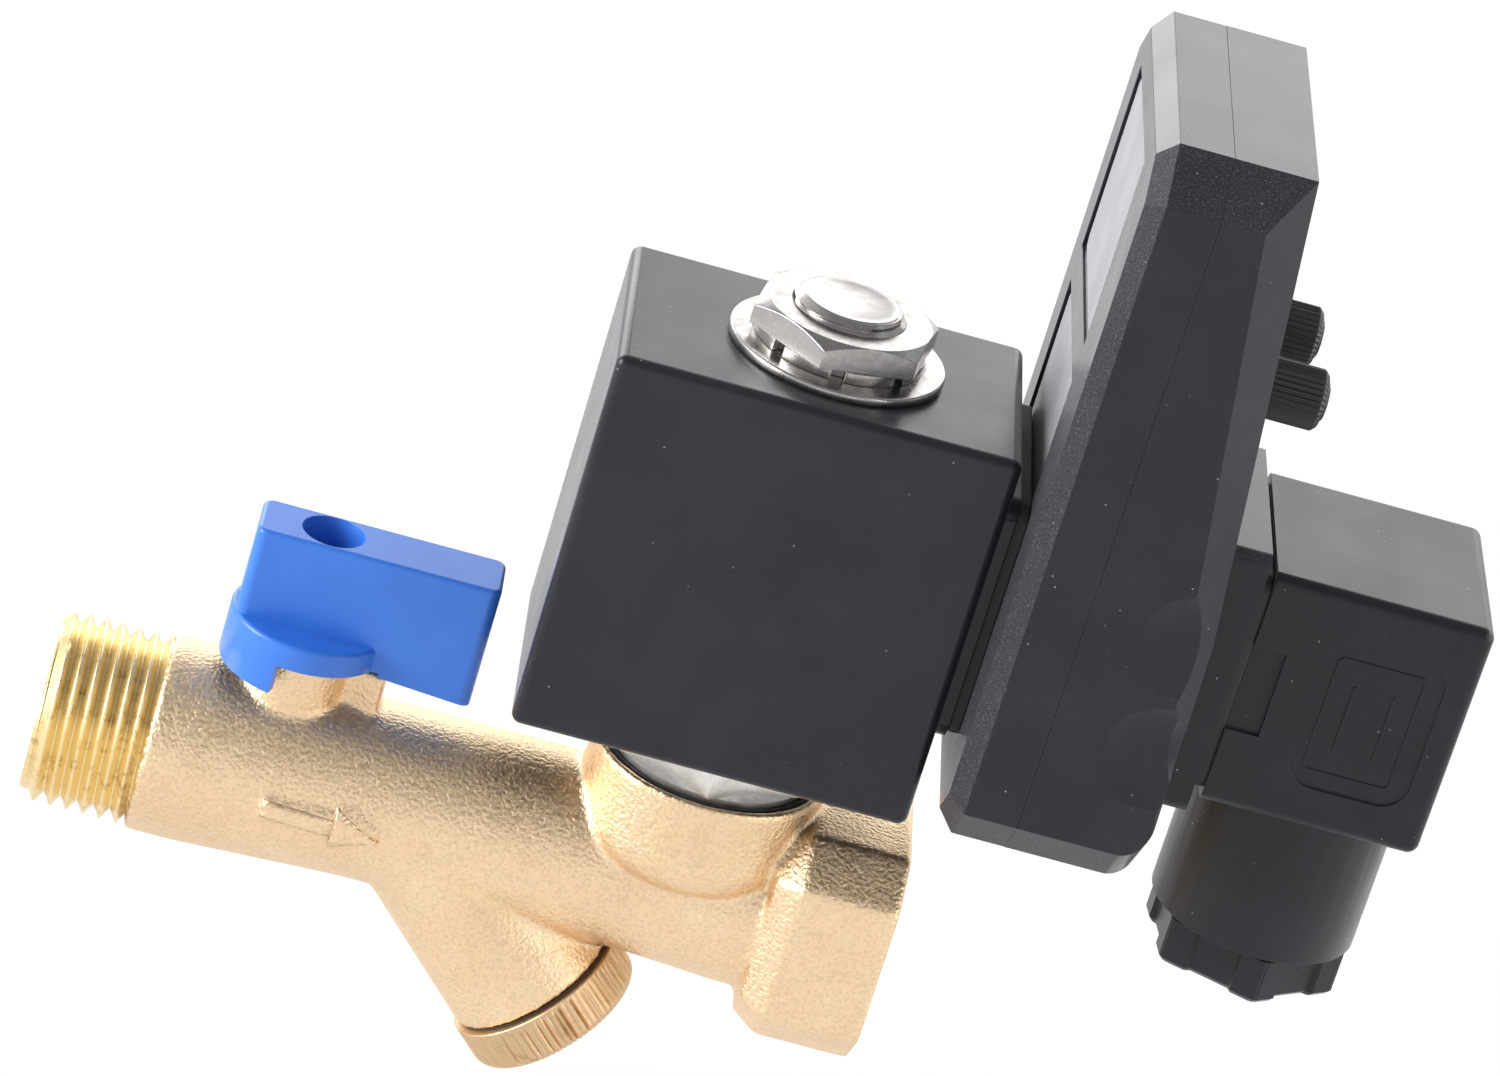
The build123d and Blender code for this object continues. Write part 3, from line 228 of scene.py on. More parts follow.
def blasted_brass():
    """Sand-cast, blasted brass: fine pebbled grain with brown specks, broad slow tone changes."""
    n = Nodes("blasted_brass")
    broad = n.noise(7.0, detail=3.0, rough=0.6)
    grain = n.noise(0.42, detail=1.5, rough=0.5)
    fine = n.noise(0.17, detail=2.0, rough=0.6)
    pits = n.cells(0.48, "SMOOTH_F1")
    colour = n.ramp(broad, ((0.30, BRASS_DEEP), (0.70, BRASS_PALE)))
    colour = n.mix(n.scale(grain, 0.0, 0.26, start=0.56, end=0.34), colour, BRASS_SPECK)
    colour = n.mix(n.scale(fine, 0.0, 0.25, start=0.58, end=0.75), colour, BRASS_GLINT)
    normal = n.bump(pits, depth_mm=0.06, strength=0.8)
    normal = n.bump(grain, depth_mm=0.14, below=normal)
    normal = n.bump(fine, depth_mm=0.025, below=normal)
    roughness = n.scale(grain, 0.38, 0.50, start=0.3, end=0.7)
    return n.set(Base_Color=colour, Metallic=1.0, Roughness=roughness, Normal=normal)


def turned_metal(name, colour, tint, rough):
    """Metal turned about Z: fine tool lines round it, worn in patches."""
    n = Nodes(name)
    lines = n.noise(0.25, detail=3.0, rough=0.6, stretch=(0.05, 0.05, 1.0))
    marks = n.noise(1.6, detail=4.0, rough=0.7)
    shade = n.mix(n.scale(marks, 0.0, 1.0, start=0.35, end=0.7), colour, tint)
    roughness = n.scale(marks, rough, rough * 1.9, start=0.3, end=0.75)
    return n.set(Base_Color=shade, Metallic=1.0, Roughness=roughness,
                 Normal=n.bump(lines, depth_mm=0.006))


def machined_brass(name, colour, tint, rough):
    """Cut brass: bright, with brown stain in patches and short tool marks."""
    n = Nodes(name)
    stain = n.noise(1.3, detail=4.0, rough=0.7, stretch=(0.3, 1.0, 1.0))
    marks = n.noise(0.18, detail=2.0, rough=0.6)
    shade = n.mix(n.scale(stain, 0.0, 0.8, start=0.54, end=0.72), colour, tint)
    return n.set(Base_Color=shade, Metallic=1.0, Roughness=n.scale(marks, rough, rough * 1.6),
                 Normal=n.bump(marks, depth_mm=0.012))


def plastic(name, colour, tint, rough, depth_mm=0.006, dust=0.0, etch_and_glints=0.0, gloss=0.5,
            sheen=0.0):
    """Moulded plastic; slanted faces that don't face +X, such as bevels, are made rougher and bumped, and carry
    grey painted glints, a painted highlight.
    """
    n = Nodes(name)
    grain = n.noise(0.25, detail=2.0, rough=0.6)
    broad = n.noise(9.0, detail=3.0, rough=0.5)
    shade = n.mix(n.scale(broad, 0.0, 1.0, start=0.35, end=0.65), colour, tint)
    if dust:
        specks = n.scale(n.cells(2.1), 1.0, 0.0, start=0.025, end=0.06)
        present = n.scale(n.noise(1.9, detail=1.0), 0.0, dust, start=0.50, end=0.58)
        shade = n.mix(n.times(specks, present), shade, DUST_GREY)
    normal = n.bump(broad, depth_mm=0.02, strength=0.35)
    normal = n.bump(grain, depth_mm=depth_mm, below=normal)
    roughness = n.scale(broad, rough * 0.9, rough * 1.15, start=0.3, end=0.7)
    if etch_and_glints:
        # Slanted faces away from +X are rougher and bumped, and carry grey painted glints: painted highlight, kept
        # off the +X side.
        askew = n.askew()
        glints = n.scale(n.noise(0.17, detail=2.0, rough=0.7), 0.0, etch_and_glints, start=0.52, end=0.75)
        shade = n.mix(n.times(askew, glints), shade, GLINT_GREY)
        roughness = n.sum(n.scale(askew, 0.0, 0.28), roughness)
        coarse = n.noise(0.24, detail=2.0, rough=0.7)
        normal = n.bump(n.times(askew, coarse), depth_mm=0.05, below=normal)
    return n.set(Base_Color=shade, Roughness=roughness, Normal=normal, Specular_IOR_Level=gloss,
                 Sheen_Weight=sheen, Sheen_Roughness=0.3, Sheen_Tint=SHEEN_TINT)


def lens_plastic(name, colour):
    n = Nodes(name)
    flow = n.noise(1.2, detail=2.0)
    darker = tuple(part * 0.6 for part in colour)
    return n.set(Base_Color=n.mix(flow, colour, darker), Roughness=n.scale(flow, 0.08, 0.2),
                 Transmission_Weight=0.25)


# name: (kind, colour, second colour, roughness, the rest)
FINISH_TABLE = {
    "nickel_plate": (turned_metal, (0.47, 0.455, 0.44), (0.38, 0.365, 0.35), 0.20, {}),
    "ptfe": (plastic, (0.85, 0.85, 0.82), (0.78, 0.78, 0.75), 0.5, {}),
    "bright_brass": (turned_metal, (0.90, 0.74, 0.42), (0.74, 0.56, 0.28), 0.16, {}),
    "blue_plastic": (plastic, (0.040, 0.185, 0.690), (0.034, 0.165, 0.640), 0.34,
                     {"depth_mm": 0.003}),
    "steel": (turned_metal, (0.62, 0.62, 0.61), (0.50, 0.50, 0.49), 0.2, {}),
    "rubber": (plastic, (0.020, 0.020, 0.021), (0.026, 0.026, 0.028), 0.6, {"depth_mm": 0.01}),
    "copper": (turned_metal, (0.72, 0.38, 0.22), (0.55, 0.26, 0.14), 0.25, {}),
    "coil_black": (plastic, COAL, COAL_LIGHT, 0.28,
                   {"dust": 0.7, "gloss": 0.34, "sheen": BLACK_SHEEN}),
    "black_plastic": (plastic, (0.014, 0.0135, 0.018), (0.018, 0.0173, 0.023), 0.33,
                      {"dust": 0.8, "gloss": 0.30, "sheen": BLACK_SHEEN}),
    "light_plastic": (plastic, (0.70, 0.68, 0.61), (0.62, 0.60, 0.54), 0.45, {}),
    "board_green": (plastic, (0.02, 0.16, 0.07), (0.02, 0.12, 0.05), 0.3, {}),
    "button_plastic": (plastic, (0.05, 0.05, 0.055), (0.06, 0.06, 0.065), 0.3, {}),
    "thread_brass": (machined_brass, (0.95, 0.75, 0.40), (0.42, 0.26, 0.09), 0.25, {}),
    "cap_brass": (machined_brass, (0.70, 0.49, 0.29), (0.46, 0.29, 0.15), 0.36, {}),
    "case_black": (plastic, COAL, COAL_LIGHT, 0.25,
                   {"dust": 0.8, "etch_and_glints": 0.3, "gloss": 0.31, "sheen": BLACK_SHEEN}),
    "tube_nickel": (turned_metal, (0.86, 0.84, 0.82), (0.66, 0.64, 0.62), 0.26, {}),
    "knob_black": (plastic, (0.016, 0.016, 0.018), (0.022, 0.022, 0.024), 0.4, {}),
    "label_silver": (plastic, (0.30, 0.30, 0.32), (0.26, 0.26, 0.28), 0.45, {}),
    "gasket_fibre": (plastic, (0.075, 0.050, 0.032), (0.06, 0.04, 0.028), 0.7, {}),
}
FINISHES = {name: kind(name, colour, tint, rough, **more)
            for name, (kind, colour, tint, rough, more) in FINISH_TABLE.items()}
FINISHES["brass"] = blasted_brass()
FINISHES["lamp"] = lens_plastic("lamp", (0.75, 0.05, 0.03))
SLOTS = {row["node"]: row["material_slot"] for row in frame["record"]["subparts"]}


def paint(piece, material):
    piece.data.materials.clear()
    piece.data.materials.append(material)


def body_of(node):
    for body, members in frame["record"]["behaviour"]["bodies"].items():
        if node in members:
            return body
    return "root"


# ------------------------------------------------------------------ CAD nodes
SEAM_MM = 0.002        # points closer than this are one
FLAT_DEGREES = 0.6     # faces that differ by less are one flat face
EDGE_DEGREES = 28.0    # edges sharper than this are rounded
EDGE_STEPS = 3


def weld_seams(piece):
    piece.modifiers.new("weld", "WELD").merge_threshold = SEAM_MM * MM


def round_edges(piece, width_mm):
    """Joins a mesh's flat triangles and rounds its edges."""
    join = piece.modifiers.new("join", "DECIMATE")
    join.decimate_type = "DISSOLVE"
    join.angle_limit = math.radians(FLAT_DEGREES)
    bevel = piece.modifiers.new("bevel", "BEVEL")
    bevel.width = width_mm * MM
    bevel.segments = EDGE_STEPS
    bevel.limit_method = "ANGLE"
    bevel.angle_limit = math.radians(EDGE_DEGREES)
    bevel.harden_normals = True
    bevel.miter_outer = "MITER_ARC"


ROUNDED_EDGES_MM = {
    "ball_handle": 0.45, "coil_nut": 0.18, "coil_washer": 0.3, "coil_lock_washer": 0.12,
    "timer_base": 0.18, "plug_housing": 0.25, "coil_housing": 0.15, "timer_gasket": 0.2,
    "plug_gasket": 0.2, "handle_screw": 0.1, "test_button": 0.15, "ball_retainer": 0.15,
    "gland_washer": 0.1, "gland_grommet": 0.3, "long_screw": 0.1, "ball_stem": 0.15,
}
OWN_FINISH = {"timer_base": "case_black", "armature_tube": "tube_nickel",
              "strainer_gasket": "gasket_fibre"}
for node, piece in frame["nodes"].items():
    paint(piece, FINISHES[OWN_FINISH.get(node, SLOTS[node])])
    if node in ROUNDED_EDGES_MM:
        weld_seams(piece)
        round_edges(piece, ROUNDED_EDGES_MM[node])


# ------------------------------------------------------------------ mesh helpers
def new_piece(name, mesh, material, node):
    """Shows a mesh as a piece that stands for a CAD node and moves with the node's body."""
    piece = bpy.data.objects.new(name, mesh)
    bpy.context.scene.collection.objects.link(piece)
    paint(piece, material)
    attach(piece, body_of(node))
    return piece


def mesh_from(name, vertices, faces, sharp):
    """A welded mesh with its degenerate faces gone; edges past the angle stay sharp."""
    closest = 1e-7
    mesh = bpy.data.meshes.new(name)
    mesh.from_pydata([tuple(v) for v in vertices], [], faces)
    work = bmesh.new()
    work.from_mesh(mesh)
    bmesh.ops.remove_doubles(work, verts=work.verts, dist=closest)
    bmesh.ops.dissolve_degenerate(work, edges=work.edges, dist=closest)
    bmesh.ops.recalc_face_normals(work, faces=work.faces)
    work.to_mesh(mesh)
    work.free()
    mesh.validate()
    mesh.shade_smooth()
    mesh.set_sharp_from_angle(angle=math.radians(sharp))
    return mesh


def polar_point(place, radius, angle, height):
    """A point of a place, from millimetres about its Z."""
    return place @ Vector((radius * MM * math.cos(angle), radius * MM * math.sin(angle),
                           height * MM))


def lathe(name, rows, place, columns, shape=None, sharp=35.0):
    """Sweeps rows of (height, radius) in millimetres about Z; shape(angle, height, radius) bends
    the outline. A radius of 0 closes the form on its axis."""
    vertices, faces = [], []
    for height, radius in rows:
        for index in range(columns):
            angle = 2 * math.pi * index / columns
            far = shape(angle, height, radius) if shape else radius
            vertices.append(polar_point(place, far, angle, height))
    for row in range(len(rows) - 1):
        for index in range(columns):
            following = (index + 1) % columns
            faces.append((row * columns + index, row * columns + following,
                          (row + 1) * columns + following, (row + 1) * columns + index))
    return mesh_from(name, vertices, faces, sharp)


FLANK_DEGREES = 27.5
THREAD_COLUMNS = 120


def thread_profile(crest, root, pitch, soft):
    """One pitch of a thread as (height, radius), with softened corners."""
    flank = abs(crest - root) * math.tan(math.radians(FLANK_DEGREES))
    flat = pitch / 2 - flank
    return (
        (0.0, crest - soft), (flat * 0.3, crest), (flat * 0.7, crest), (flat, crest - soft),
        (flat + flank - 0.02, root + soft), (flat * 1.3 + flank, root),
        (flat * 1.7 + flank, root), (pitch - flank, root + soft),
    )


def thread(name, place, crest, root, pitch, low, high, chamfer, inner, inside=False):
    """A helical 55 degree thread about Z between two heights, chamfered at its low end, on a
    plain sleeve whose other radius is inner; all in millimetres."""
    way = -1 if inside else 1
    profile = thread_profile(crest, root, pitch, 0.05 * pitch * way)
    turns = range(-1, math.ceil((high - low) / pitch) + 1)
    rows = [(turn * pitch + along, radius) for turn in turns for along, radius in profile]
    angles = [2 * math.pi * index / THREAD_COLUMNS for index in range(THREAD_COLUMNS + 1)]
    across = len(angles)
    vertices, faces = [], []

    def strip(first, second):
        faces.extend((first + index, first + index + 1, second + index + 1, second + index)
                     for index in range(THREAD_COLUMNS))

    for along, radius in rows:
        for index, angle in enumerate(angles):
            height = min(max(low + along + pitch * index / THREAD_COLUMNS, low), high)
            limit = crest - way * max(chamfer - (height - low), 0.0)
            far = max(radius, limit) if inside else min(radius, limit)
            vertices.append(polar_point(place, far, angle, height))
    for height in (low, high):
        vertices += [polar_point(place, inner, angle, height) for angle in angles]
    low_ring = len(rows) * across
    high_ring = low_ring + across
    for row in range(len(rows) - 1):
        strip(row * across, (row + 1) * across)
    strip(0, low_ring)
    strip((len(rows) - 1) * across, high_ring)
    strip(low_ring, high_ring)
    return mesh_from(name, vertices, faces, 50.0)


def shown_mesh(work, name):
    """The mesh that a working object's modifiers make; the object is removed."""
    state = bpy.context.evaluated_depsgraph_get()
    mesh = bpy.data.meshes.new_from_object(work.evaluated_get(state), depsgraph=state)
    bpy.data.objects.remove(work)
    mesh.name = name
    mesh.materials.clear()
    return mesh


def working_copy(node, name):
    work = bpy.data.objects.new(name, frame["nodes"][node].data.copy())
    bpy.context.scene.collection.objects.link(work)
    weld_seams(work)
    return work


def remeshed(node, name, voxel_mm, smooth_steps):
    """The CAD node's form as one even mesh with softened edges."""
    work = working_copy(node, name)
    grid = work.modifiers.new("grid", "REMESH")
    grid.mode = "VOXEL"
    grid.voxel_size = voxel_mm * MM
    grid.use_smooth_shade = True
    relax = work.modifiers.new("relax", "SMOOTH")
    relax.factor = 0.5
    relax.iterations = smooth_steps
    return shown_mesh(work, name)


def read_points(mesh):
    points = np.empty(len(mesh.vertices) * 3)
    mesh.vertices.foreach_get("co", points)
    return points.reshape(-1, 3)


def write_points(mesh, points):
    mesh.vertices.foreach_set("co", points.ravel())
    mesh.update()


# ------------------------------------------------------------------ places
# Named lengths are in millimetres, up to the floor and the light.
# Z of ALONG_X runs along the body towards +X, and Z of BRANCH_PLACE down the branch.
ALONG_X = Matrix(((0, 0, 1, 0), (0, 1, 0, 0), (-1, 0, 0, 0), (0, 0, 0, 1)))
TURNED_OVER = Matrix.Rotation(math.pi, 4, "X")
STRAINER_X = 29.6
BRANCH_DEGREES = 135
SOLENOID_X = 58.2
BRANCH_PLACE = (Matrix.Translation((STRAINER_X * MM, 0, 0))
                @ Matrix.Rotation(math.radians(BRANCH_DEGREES), 4, "Y"))


# ------------------------------------------------------------------ brass body
CAST_VOXEL = 0.4
CAST_SMOOTHING = 10
PITCH = 1.814
INLET_CREST = 10.4775
INLET_ROOT = 9.3155
INLET_END = cad_box[0].x / MM
INLET_CHAMFER = 1.3
INLET_SLEEVE = 7.8
INLET_GAP = 0.12       # the casting ends this far inside the thread's end
INLET_REACH = 0.1      # the thread ends this far inside the shoulder
BODY_UNDER_THREAD = 9.2
BODY_END = 81.5
TAP_CREST = 9.32
TAP_ROOT = 10.35
TAP_LENGTH = 11.6
TAP_SLEEVE = 10.6
TAP_CHAMFER = 1.0
TAP_SKIN = (8.0, 9.9)  # radii between which the casting's bore is widened for the thread
TAP_INSET = 0.05
OVERLAP = 0.15         # how far a thread's sleeve reaches into the casting
NECK = -0.25           # the casting is narrowed beyond this, under the inlet's thread
BARREL_START = 5.0     # the barrel tapers from here
BARREL_TAPER = 18.0
BARREL_RADIUS = 10.75
BARREL_DROP = 0.85


def scaled_round_x(points, chosen, factor):
    """Moves the chosen points away from or towards the X axis."""
    factor = np.where(chosen, factor, 1.0)
    points[:, 1] *= factor
    points[:, 2] *= factor


def add_cast_body():
    mesh = remeshed("valve_body", "cast_body", CAST_VOXEL, CAST_SMOOTHING)
    points = read_points(mesh)
    radius = np.hypot(points[:, 1], points[:, 2])
    near_axis = np.maximum(radius, 1e-9)
    narrowed = (points[:, 0] < NECK * MM) & (radius > BODY_UNDER_THREAD * MM)
    scaled_round_x(points, narrowed, BODY_UNDER_THREAD * MM / near_axis)
    points[:, 0] = np.maximum(points[:, 0], (INLET_END + INLET_GAP) * MM)
    inner, outer = (limit * MM for limit in TAP_SKIN)
    tapped = (points[:, 0] > (BODY_END - TAP_LENGTH) * MM) & (radius < outer)
    tapped &= radius > inner
    scaled_round_x(points, tapped, TAP_SLEEVE * MM / near_axis)
    write_points(mesh, points)
    body = new_piece("cast_body", mesh, FINISHES["brass"], "valve_body")
    ring = thread("inlet_thread", ALONG_X, INLET_CREST, INLET_ROOT, PITCH, INLET_END,
                  INLET_REACH, INLET_CHAMFER, INLET_SLEEVE)
    ridge = new_piece("inlet_thread", ring, FINISHES["thread_brass"], "valve_body")
    outlet = Matrix.Translation(((BODY_END - TAP_INSET) * MM, 0, 0)) @ ALONG_X @ TURNED_OVER
    ring = thread("outlet_thread", outlet, TAP_CREST, TAP_ROOT, PITCH, 0.0,
                  TAP_LENGTH + 2 * OVERLAP, TAP_CHAMFER, TAP_SLEEVE + OVERLAP, inside=True)
    female = new_piece("outlet_thread", ring, FINISHES["thread_brass"], "valve_body")
    for part in (body, ridge, female):
        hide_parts("valve_body")


def barrel_radius(x):
    share = min(max((x - BARREL_START) / BARREL_TAPER, 0.0), 1.0)
    return BARREL_RADIUS - BARREL_DROP * share


ARROW_START = 13.0
ARROW_NECK = 20.9
ARROW_TIP = 26.4
SHAFT_HALF = 1.2
HEAD_HALF = 2.6
ARROW_EDGE = 0.26      # width of the sloping edge
ARROW_RAISED = 0.75
ARROW_SUNK = -0.12     # the edge's foot lies in the barrel
ARROW_Z = 0.15         # height of the arrow's tail
ARROW_SLOPE = 0.06     # how far it drops per millimetre
ARROW_THICKNESS = 0.5
ARROW_RIM = 0.75       # share of the half width where the raised face ends
ARROW_SPREAD = (-1.0, -ARROW_RIM, -0.4, 0.0, 0.4, ARROW_RIM, 1.0)


def arrow_stations():
    """The arrow's cuts along X as (x, half width, raised)."""
    shaft = np.linspace(ARROW_START + 1, ARROW_NECK - 0.01, 8)
    head = np.linspace(ARROW_NECK + 0.6, ARROW_TIP - ARROW_EDGE, 8)
    taper = HEAD_HALF / (ARROW_TIP - ARROW_NECK)
    return ([(ARROW_START, SHAFT_HALF, False), (ARROW_START + ARROW_EDGE, SHAFT_HALF, True)]
            + [(x, SHAFT_HALF, True) for x in shaft]
            + [(ARROW_NECK, HEAD_HALF, False), (ARROW_NECK + ARROW_EDGE, HEAD_HALF, True)]
            + [(x, taper * (ARROW_TIP - x), True) for x in head]
            + [(ARROW_TIP, 0.02, False)])


def add_arrow():
    """The raised flow arrow with crisp cast edges, laid on the barrel's front."""
    vertices, faces = [], []
    stations = arrow_stations()
    for x, half, high in stations:
        middle = ARROW_Z - ARROW_SLOPE * (x - ARROW_START)
        for part in ARROW_SPREAD:
            inner = max(half - ARROW_EDGE, 0.0)
            z = middle + (part * half if abs(part) == 1 else part / ARROW_RIM * inner)
            lift = ARROW_RAISED if high and abs(part) < 1 else ARROW_SUNK
            far = barrel_radius(x) + lift
            vertices.append(Vector((x, -math.sqrt(far * far - z * z), z)) * MM)
    wide = len(ARROW_SPREAD)
    for row in range(len(stations) - 1):
        for index in range(wide - 1):
            corner = row * wide + index
            faces.append((corner, corner + 1, corner + wide + 1, corner + wide))
    mesh = mesh_from("cast_arrow", vertices, faces, 180.0)
    arrow = new_piece("cast_arrow", mesh, FINISHES["brass"], "valve_body")
    solid = arrow.modifiers.new("solid", "SOLIDIFY")
    solid.thickness = ARROW_THICKNESS * MM
    solid.offset = -1.0


# ------------------------------------------------------------------ timer cover
SCOOP_RADIUS = 15.0
SCOOP_DEPTH = 1.35
SCOOP_X = 100.4
SCOOP_Z = (52.2, 39.0)


def ball_cutter(places, radius_mm):
    work = bmesh.new()
    for place in places:
        bmesh.ops.create_uvsphere(work, u_segments=128, v_segments=64, radius=radius_mm * MM,
                                  matrix=Matrix.Translation(Vector(place) * MM))
    mesh = bpy.data.meshes.new("cutter")
    work.to_mesh(mesh)
    work.free()
    cutter = bpy.data.objects.new("cutter", mesh)
    bpy.context.scene.collection.objects.link(cutter)
    return cutter


def add_scooped_cover():
    """The cover with the soft finger scoops pressed into its two long sides."""
    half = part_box("timer_cover")[1].y / MM
    out = half + SCOOP_RADIUS - SCOOP_DEPTH
    places = [(SCOOP_X, side * out, z) for side in (-1, 1) for z in SCOOP_Z]
    cutter = ball_cutter(places, SCOOP_RADIUS)
    work = working_copy("timer_cover", "work")
    scoop = work.modifiers.new("scoop", "BOOLEAN")
    scoop.object = cutter
    scoop.operation = "DIFFERENCE"
    scoop.solver = "EXACT"
    round_edges(work, 0.22)
    mesh = shown_mesh(work, "scooped_cover")
    mesh.shade_smooth()
    mesh.set_sharp_from_angle(angle=math.radians(22))
    bpy.data.objects.remove(cutter)
    cover = new_piece("scooped_cover", mesh, FINISHES["case_black"], "timer_cover")
    cover.modifiers.new("even", "WEIGHTED_NORMAL").keep_sharp = True
    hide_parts("timer_cover")


# ------------------------------------------------------------------ strainer cap
CAP_SEAT = 24.5
CAP_END = 29.8
CAP_R = 10.0
CAP_ROUND = 1.4
CAP_RIBS = 84
CAP_DISH = 0.25        # how far the cap's end is sunk inside its rim
CAP_POCKET_R = 5.65
CAP_POCKET_DEPTH = 1.0
CAP_PLUG_START = 17.2
CAP_PLUG_R = 8.3
CAP_THREAD_DEPTH = 0.9
CAP_PITCH = 1.5
CAP_CHAMFER = 0.9
GROOVE_HALF = 0.27     # share of a rib's width


def rib_numbers(seed, low, high):
    return np.random.default_rng(seed).uniform(low, high, CAP_RIBS)


def add_strainer_cap():
    depths = rib_numbers(7, 0.10, 0.34)
    shifts = rib_numbers(8, -0.18, 0.18)

    def knurl(angle, height, radius):
        if radius < CAP_R - CAP_ROUND:
            return radius
        turn = angle / (2 * math.pi) * CAP_RIBS
        index = int(turn + 0.5) % CAP_RIBS
        away = abs(turn - round(turn) - shifts[index])
        groove = max(0.0, 1.0 - away / GROOVE_HALF)
        fade = min(1.0, max(0.0, (height - CAP_SEAT - 0.25) / 0.4))
        return radius - depths[index] * groove * fade

    dish, pocket = CAP_END - CAP_DISH, CAP_SEAT + CAP_POCKET_DEPTH
    corner = [(CAP_END - CAP_ROUND * (1 - math.sin(t)), CAP_R - CAP_ROUND * (1 - math.cos(t)))
              for t in np.linspace(math.pi / 2, 0, 7)]
    rows = ([(dish, 0), (dish, 6.6), (CAP_END, 7.0)] + corner
            + [(CAP_SEAT + rise, CAP_R) for rise in (2.6, 1.0, 0.35, 0.1)]
            + [(CAP_SEAT, CAP_R - 0.1), (CAP_SEAT, CAP_POCKET_R), (pocket, CAP_POCKET_R),
               (pocket, 0)])
    rim = lathe("knurled_cap", rows, BRANCH_PLACE, CAP_RIBS * 7, knurl, 28.0)
    cap = new_piece("knurled_cap", rim, FINISHES["cap_brass"], "strainer_cap")
    plug = thread("cap_thread", BRANCH_PLACE, CAP_PLUG_R, CAP_PLUG_R - CAP_THREAD_DEPTH,
                  CAP_PITCH, CAP_PLUG_START, CAP_SEAT + 0.05, CAP_CHAMFER, CAP_POCKET_R)
    screw = new_piece("cap_thread", plug, FINISHES["cap_brass"], "strainer_cap")
    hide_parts("strainer_cap")
    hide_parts("strainer_cap")


# ------------------------------------------------------------------ core end
CORE_R = 5.47
CORE_NECK_R = 5.0
CORE_NECK_LENGTH = 8.0
CORE_CREST = 6.1
CORE_ROOT = 5.5
CORE_PITCH = 1.0
CORE_CHAMFER = 0.75
CORE_SLEEVE = 4.9


def add_core_end():
    low, high = (corner.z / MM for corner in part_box("fixed_core"))
    shoulder = high - CORE_NECK_LENGTH
    place = Matrix.Translation((SOLENOID_X * MM, 0, 0))
    rows = [(low, 0), (low, CORE_R), (shoulder, CORE_R), (shoulder, CORE_NECK_R),
            (high - 0.35, CORE_NECK_R), (high - 0.12, 5.25), (high, 5.1), (high, 4.2),
            (high - 0.03, 4.1), (high - 0.03, 0)]
    core = new_piece("core_pole", lathe("core_pole", rows, place, 96), FINISHES["nickel_plate"],
                     "fixed_core")
    thread_end = high - 0.1
    middle = Matrix.Translation((0, 0, (shoulder + thread_end) * MM))
    ring = thread("core_thread", place @ middle @ TURNED_OVER, CORE_CREST, CORE_ROOT, CORE_PITCH,
                  shoulder, thread_end, CORE_CHAMFER, CORE_SLEEVE)
    screw = new_piece("core_thread", ring, FINISHES["nickel_plate"], "fixed_core")
    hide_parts("fixed_core")
    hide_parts("fixed_core")


# ------------------------------------------------------------------ gland nut
NUT_CORNER_R = 11.3
NUT_HEIGHT = 5.55
NUT_TURN = 7
NUT_SINK = 0.6         # how far its sides are sunk between the corners
NUT_SIDE_HALF = 2.75
NUT_EASE = 0.35        # width over which a side sinks
NUT_HUB_R = 8.0        # inside this the nut is round
NUT_CORNER_CUT = 0.12


def gland_outline(angle, height, radius):
    """A hexagon whose sides are sunk between raised corners."""
    if radius < NUT_HUB_R:
        return radius
    sixth = math.pi / 3
    turn = (angle + sixth / 2) % sixth - sixth / 2
    flat = radius * math.cos(sixth / 2)
    side = flat / math.cos(abs(turn))
    reach = abs(math.tan(turn)) * flat
    sink = min(1.0, max(0.0, (NUT_SIDE_HALF - reach) / NUT_EASE))
    corner_cut = NUT_CORNER_CUT if sixth / 2 - abs(turn) < 0.02 else 0.0
    return side - NUT_SINK * sink - corner_cut


def add_gland_nut():
    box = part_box("gland_nut")
    low = box[0].z / MM
    centre = (box[0] + box[1]) / 2
    place = (Matrix.Translation((centre.x, centre.y, 0))
             @ Matrix.Rotation(math.radians(NUT_TURN), 4, "Z"))
    seat = low + NUT_HEIGHT
    rows = [(seat, 5.4), (seat, NUT_CORNER_R - 0.4), (seat - 0.3, NUT_CORNER_R),
            (low + 0.5, NUT_CORNER_R), (low, NUT_CORNER_R - 0.5), (low, 7.2), (low + 0.5, 6.9),
            (low + 0.5, 5.6), (low + 1.0, 5.4), (seat, 5.4)]
    mesh = lathe("gland_nut_hex", rows, place, 360, gland_outline, 18.0)
    nut = new_piece("gland_nut_hex", mesh, FINISHES["black_plastic"], "gland_nut")
    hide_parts("gland_nut")


# ------------------------------------------------------------------ knobs
KNOB_VOXEL = 0.11
KNOB_RIBS = 32
KNOB_RIB_DEPTH = 0.24
KNOB_RIB_START = 2.75
KNOB_RIB_EASE = 0.3    # width over which the ribs begin


def add_knob(node):
    mesh = remeshed(node, node + "_fluted", KNOB_VOXEL, 1)
    points = read_points(mesh)
    joint = next(row for row in frame["joints"] if row["child"] == body_of(node))
    _, y, z = joint["pos_m"]
    across, up = points[:, 1] - y, points[:, 2] - z
    radius = np.hypot(across, up)
    wave = 0.5 + 0.5 * np.cos(np.arctan2(up, across) * KNOB_RIBS)
    rim = np.clip((radius / MM - KNOB_RIB_START) / KNOB_RIB_EASE, 0, 1)
    shrink = 1 - KNOB_RIB_DEPTH * MM * np.power(wave, 0.7) * rim / np.maximum(radius, 1e-9)
    points[:, 1] = y + across * shrink
    points[:, 2] = z + up * shrink
    write_points(mesh, points)
    knob = new_piece(node + "_fluted", mesh, FINISHES["knob_black"], node)
    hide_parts(node)


